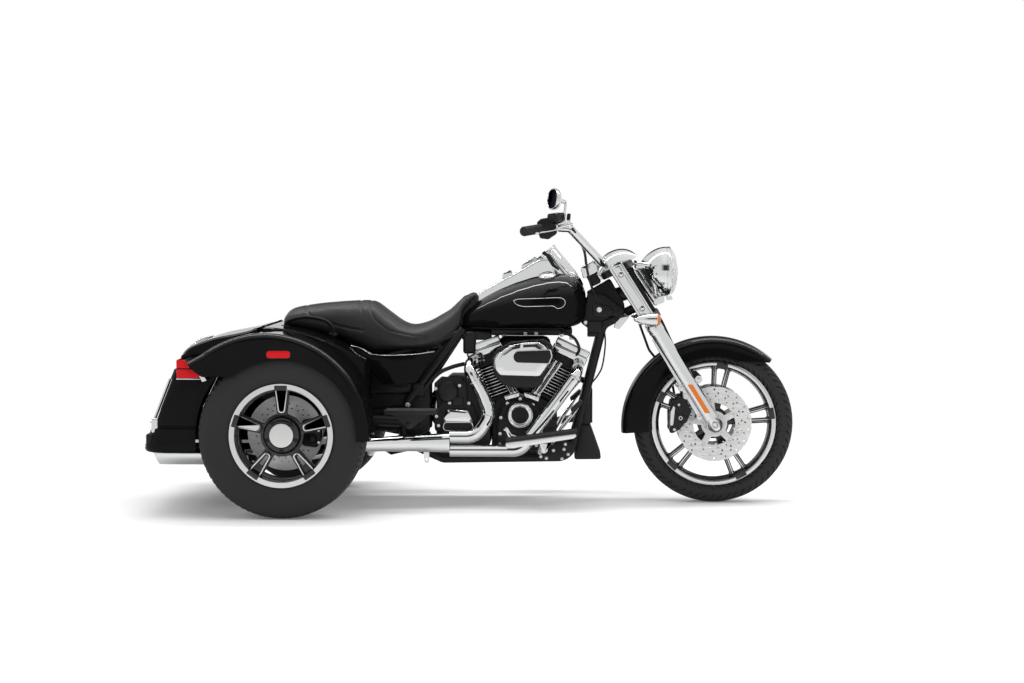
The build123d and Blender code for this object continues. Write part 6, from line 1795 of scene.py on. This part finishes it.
def foot_controls():
    arms, pads, plate, screws = (Shape() for _ in range(4))
    pads.panel([(384, 396), (392, 404), (424, 432), (432, 426), (428, 414), (404, 388), (390, 384)], 4, 266, 334, 2.5)
    arm = [(412, 284, 404), (392, 262, 372), (352, 250, 320), (330, 240, 280), (318, 232, 262), (318, 134, 226)]
    arms.pipe(arm, 8, bend=24)
    outline = [(261, 203), (276, 183), (352, 181), (388, 203), (398, 249), (359, 268), (313, 244)]
    plate.panel(outline, 8, 190, 204, 2.5).pipe([(330, 130, 222), (330, 196, 222)], 16, sides=24)
    for x, z in ((268, 199), (290, 192), (318, 223), (365, 248), (360, 228), (376, 208), (352, 190)):
        screws.hexagon((x, 203, z), Y, 5, 6)
    arms.mirrored().piece("pedal_arms", "chrome", "root", "foot_controls", "chrome")
    pads.mirrored().piece("pedal_pads", "rubber")
    plate.mirrored().piece("control_plates", "satin_black")
    screws.mirrored().piece("control_plate_bolts", "steel")


def grab_handles():
    bars = Shape()
    path = [
        (-746, 166, 708), (-741, 170, 728), (-715, 177, 741), (-665, 186, 749.5), (-614, 190, 744), (-577, 190, 730),
        (-558, 186, 708), (-555, 174, 672),
    ]
    bars.pipe(smooth_line(path, 8), 9, sides=24, squash=0.8)
    for x, z in ((-746, 712), (-555, 684)):
        bars.lathe([(-6, 17), (2, 17), (4, 14), (4, 0)], (x, 172, z), (0.15, 0, 1), 32)
    bars.mirrored().piece("grab_bars", "satin_black", "root", "grab_handles", "black_frame")


def side_covers():
    covers, edge = Shape(), Shape()
    outline = [(-491, 637), (-448, 628), (-403, 603), (-343, 598), (-240, 602), (-150, 614), (-227, 488)]
    outline += [(-300, 478), (-360, 482), (-407, 540)]
    covers.panel(outline, [4, 30, 30, 60, 60, 4, 20, 40, 20, 30], 172, 181, 3.5)
    line = [(-486, 637), (-448, 627), (-420, 610), (-400, 602), (-343, 598), (-240, 602), (-154, 613)]
    edge.pipe(smooth_line([(x, 180.5, z) for x, z in line], 5), 1.5, sides=10)
    covers.mirrored().piece("side_cover_panels", "body_paint", "root", "side_covers", "black_paint")
    edge.mirrored().piece("side_cover_edges", "polished")


for build in (footboards, foot_controls, grab_handles, side_covers):
    build()

# ---------------------------------------------------------------- frame castings, boxes and hoses

# Blocks: low corner, high corner and bevel
casting_blocks = [
    ((452, -92, 684), (512, -58, 730), 7), ((452, -84, 668), (500, -60, 688), 5),  # at the downtubes
    ((66, -98, 674), (392, 98, 704), 9),  # under the tank
    ((-330, -158, 470), (-262, -118, 560), 9), ((-246, -150, 430), (-196, -112, 486), 7),
    ((96, -60, 560), (306, 60, 668), 30),  # over the engine, between the heads and under the tank
    ((-44, -104, 600), (8, -60, 690), 12), ((-50, -96, 655), (70, -50, 690), 10),
    ((-420, -128, 440), (-236, -96, 560), 12),  # behind the passenger's footboard
]
inner_wall = [(-424, 590), (-160, 606), (-70, 680), (-44, 672), (-176, 470), (-176, 292), (-250, 268), (-424, 300)]
# Plates: outline in the side view, corner radius, two levels of Y and bevel
casting_plates = [
    ([(455, 842), (520, 838), (604, 776), (596, 742), (548, 752), (506, 702), (462, 697), (426, 722)], 14, -66, 66, 6),
    ([(450, 846), (512, 881), (544, 900), (600, 802), (606, 762), (562, 754), (520, 740), (470, 780)], 9, -40, 40, 5),
    ([(-66, 730), (-60, 712), (-34, 706), (10, 800), (8, 834), (-6, 832), (-44, 786)], 6, -54, 54, 4),
    ([(-412, 211), (-350, 172), (-270, 190), (-234, 206), (-180, 262), (-240, 300), (-356, 232)], 10, 128, 150, 4),
    ([(-300, 352), (-210, 352), (-196, 400), (-220, 430), (-290, 430)], 10, 138, 156, 4),
    (inner_wall, 10, -104, -92, 3), (inner_wall, 10, 64, 76, 3),
]
# Hoses: points, radius and sides
hose_lines = [
    ([(520, -84, 700), (524, -92, 640), (514, -94, 560), (498, -92, 520), (470, -90, 484), (452, -80, 470)], 3.2, 10),
    ([(330, -60, 700), (352, -100, 690), (400, -110, 664), (420, -104, 620), (404, -90, 588)], 6, 12),
    ([(-40, -96, 560), (-90, -130, 548), (-140, -140, 524), (-190, -140, 470), (-214, -136, 420)], 8, 14),
]
# Hexagon heads: X, Y, Z, radius and height
hexagons = [
    (-262, -157, 400, 8, 7), (-226, -157, 378, 7, 7), (104, -140, 190, 7, 6), (-40, -140, 190, 7, 6),
    (210, -140, 192, 7, 6), (205, -96, 684, 7, 6), (248, -96, 684, 7, 6), (-30, -96, 664, 7, 6),
    (350, -96, 676, 7, 6), (388, -96, 664, 7, 6),
]


def dash_box():
    """The box and its rim behind the fork head, which turn with the bar."""
    case, rim = Shape(), Shape()
    case.panel([(430, 940), (484, 972), (508, 884), (470, 866)], 10, -58, 58, 5)
    rim.panel([(424, 944), (484, 979), (497, 930), (436, 898)], 7, -62, 62, 4)
    rim.panel([(488, 918), (506, 892), (520, 900), (504, 930)], 4, -64, 64, 3)
    case.piece("dash_box", "satin_black", "front_end")
    rim.piece("dash_box_rim", "chrome", "front_end")


def control_cables():
    """Cables from the bar to the frame."""
    way = [(392, 300, 1100), (404, 220, 1082), (440, 130, 1010), (452, 96, 930), (476, 74, 850), (500, 60, 800)]
    cables = Shape().pipe(smooth_line(way, 14), 4.4, sides=12).mirrored()
    bent = cables.piece("control_cables", "rubber", None)
    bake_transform(bent)


def castings():
    black, bright, hoses, silver = (Shape() for _ in range(4))
    black.panel([(470, 806), (540, 790), (560, 768), (520, 744), (478, 748)], 9, 66, 76, 3).mirrored()
    bright.hexagon((500, 76, 776), Y, 8, 7).hexagon((446, 66, 724), Y, 6, 6).mirrored()
    bright.panel([(558, 704), (580, 698), (620, 748), (604, 762), (570, 742)], 6, -62, -40, 4)
    for low, high, bevel in casting_blocks:
        black.block(low, high, bevel)
    for plate in casting_plates:
        black.panel(*plate)
    black.lathe([(0, 34), (16, 34), (20, 30), (20, 24), (17, 22), (17, 0)], (-262, -104, 336), RIGHT, 48)
    black.pipe([(-420, -120, 366), (-300, -128, 380), (-210, -126, 352)], 11, bend=40, sides=18)
    black.pipe([(-400, -118, 312), (-330, -130, 300), (-216, -130, 316)], 9, bend=30, sides=18)
    for line, radius, count in hose_lines:
        hoses.pipe(smooth_line(line, 7), radius, sides=count)
    silver.bolt((-246, -156, 335), RIGHT, 12, 7)
    for *place, radius, height in hexagons:
        silver.hexagon(place, RIGHT, radius, height)
    silver.pipe([(110, -90, 672), (150, -90, 688), (196, -90, 684)], 5, bend=14, sides=14)
    silver.pipe([(208, -88, 690), (246, -88, 690)], 5, sides=14)
    black.piece("frame_castings", "satin_black")
    bright.piece("frame_brackets", "chrome")
    hoses.piece("hoses", "rubber")
    silver.piece("frame_bolts", "steel")


dash_box()
control_cables()
castings()

# ---------------------------------------------------------------- carried-over parts

carried_over = {
    "frame": "satin_black", "drive_belt": "rubber", "brake_line": "rubber", "trunk": "body_paint",
    "plate_bracket": "plastic",
}
for node, material in carried_over.items():
    mesh = bpy.data.objects[node].data
    mesh.materials.clear()
    mesh.materials.append(materials[material])
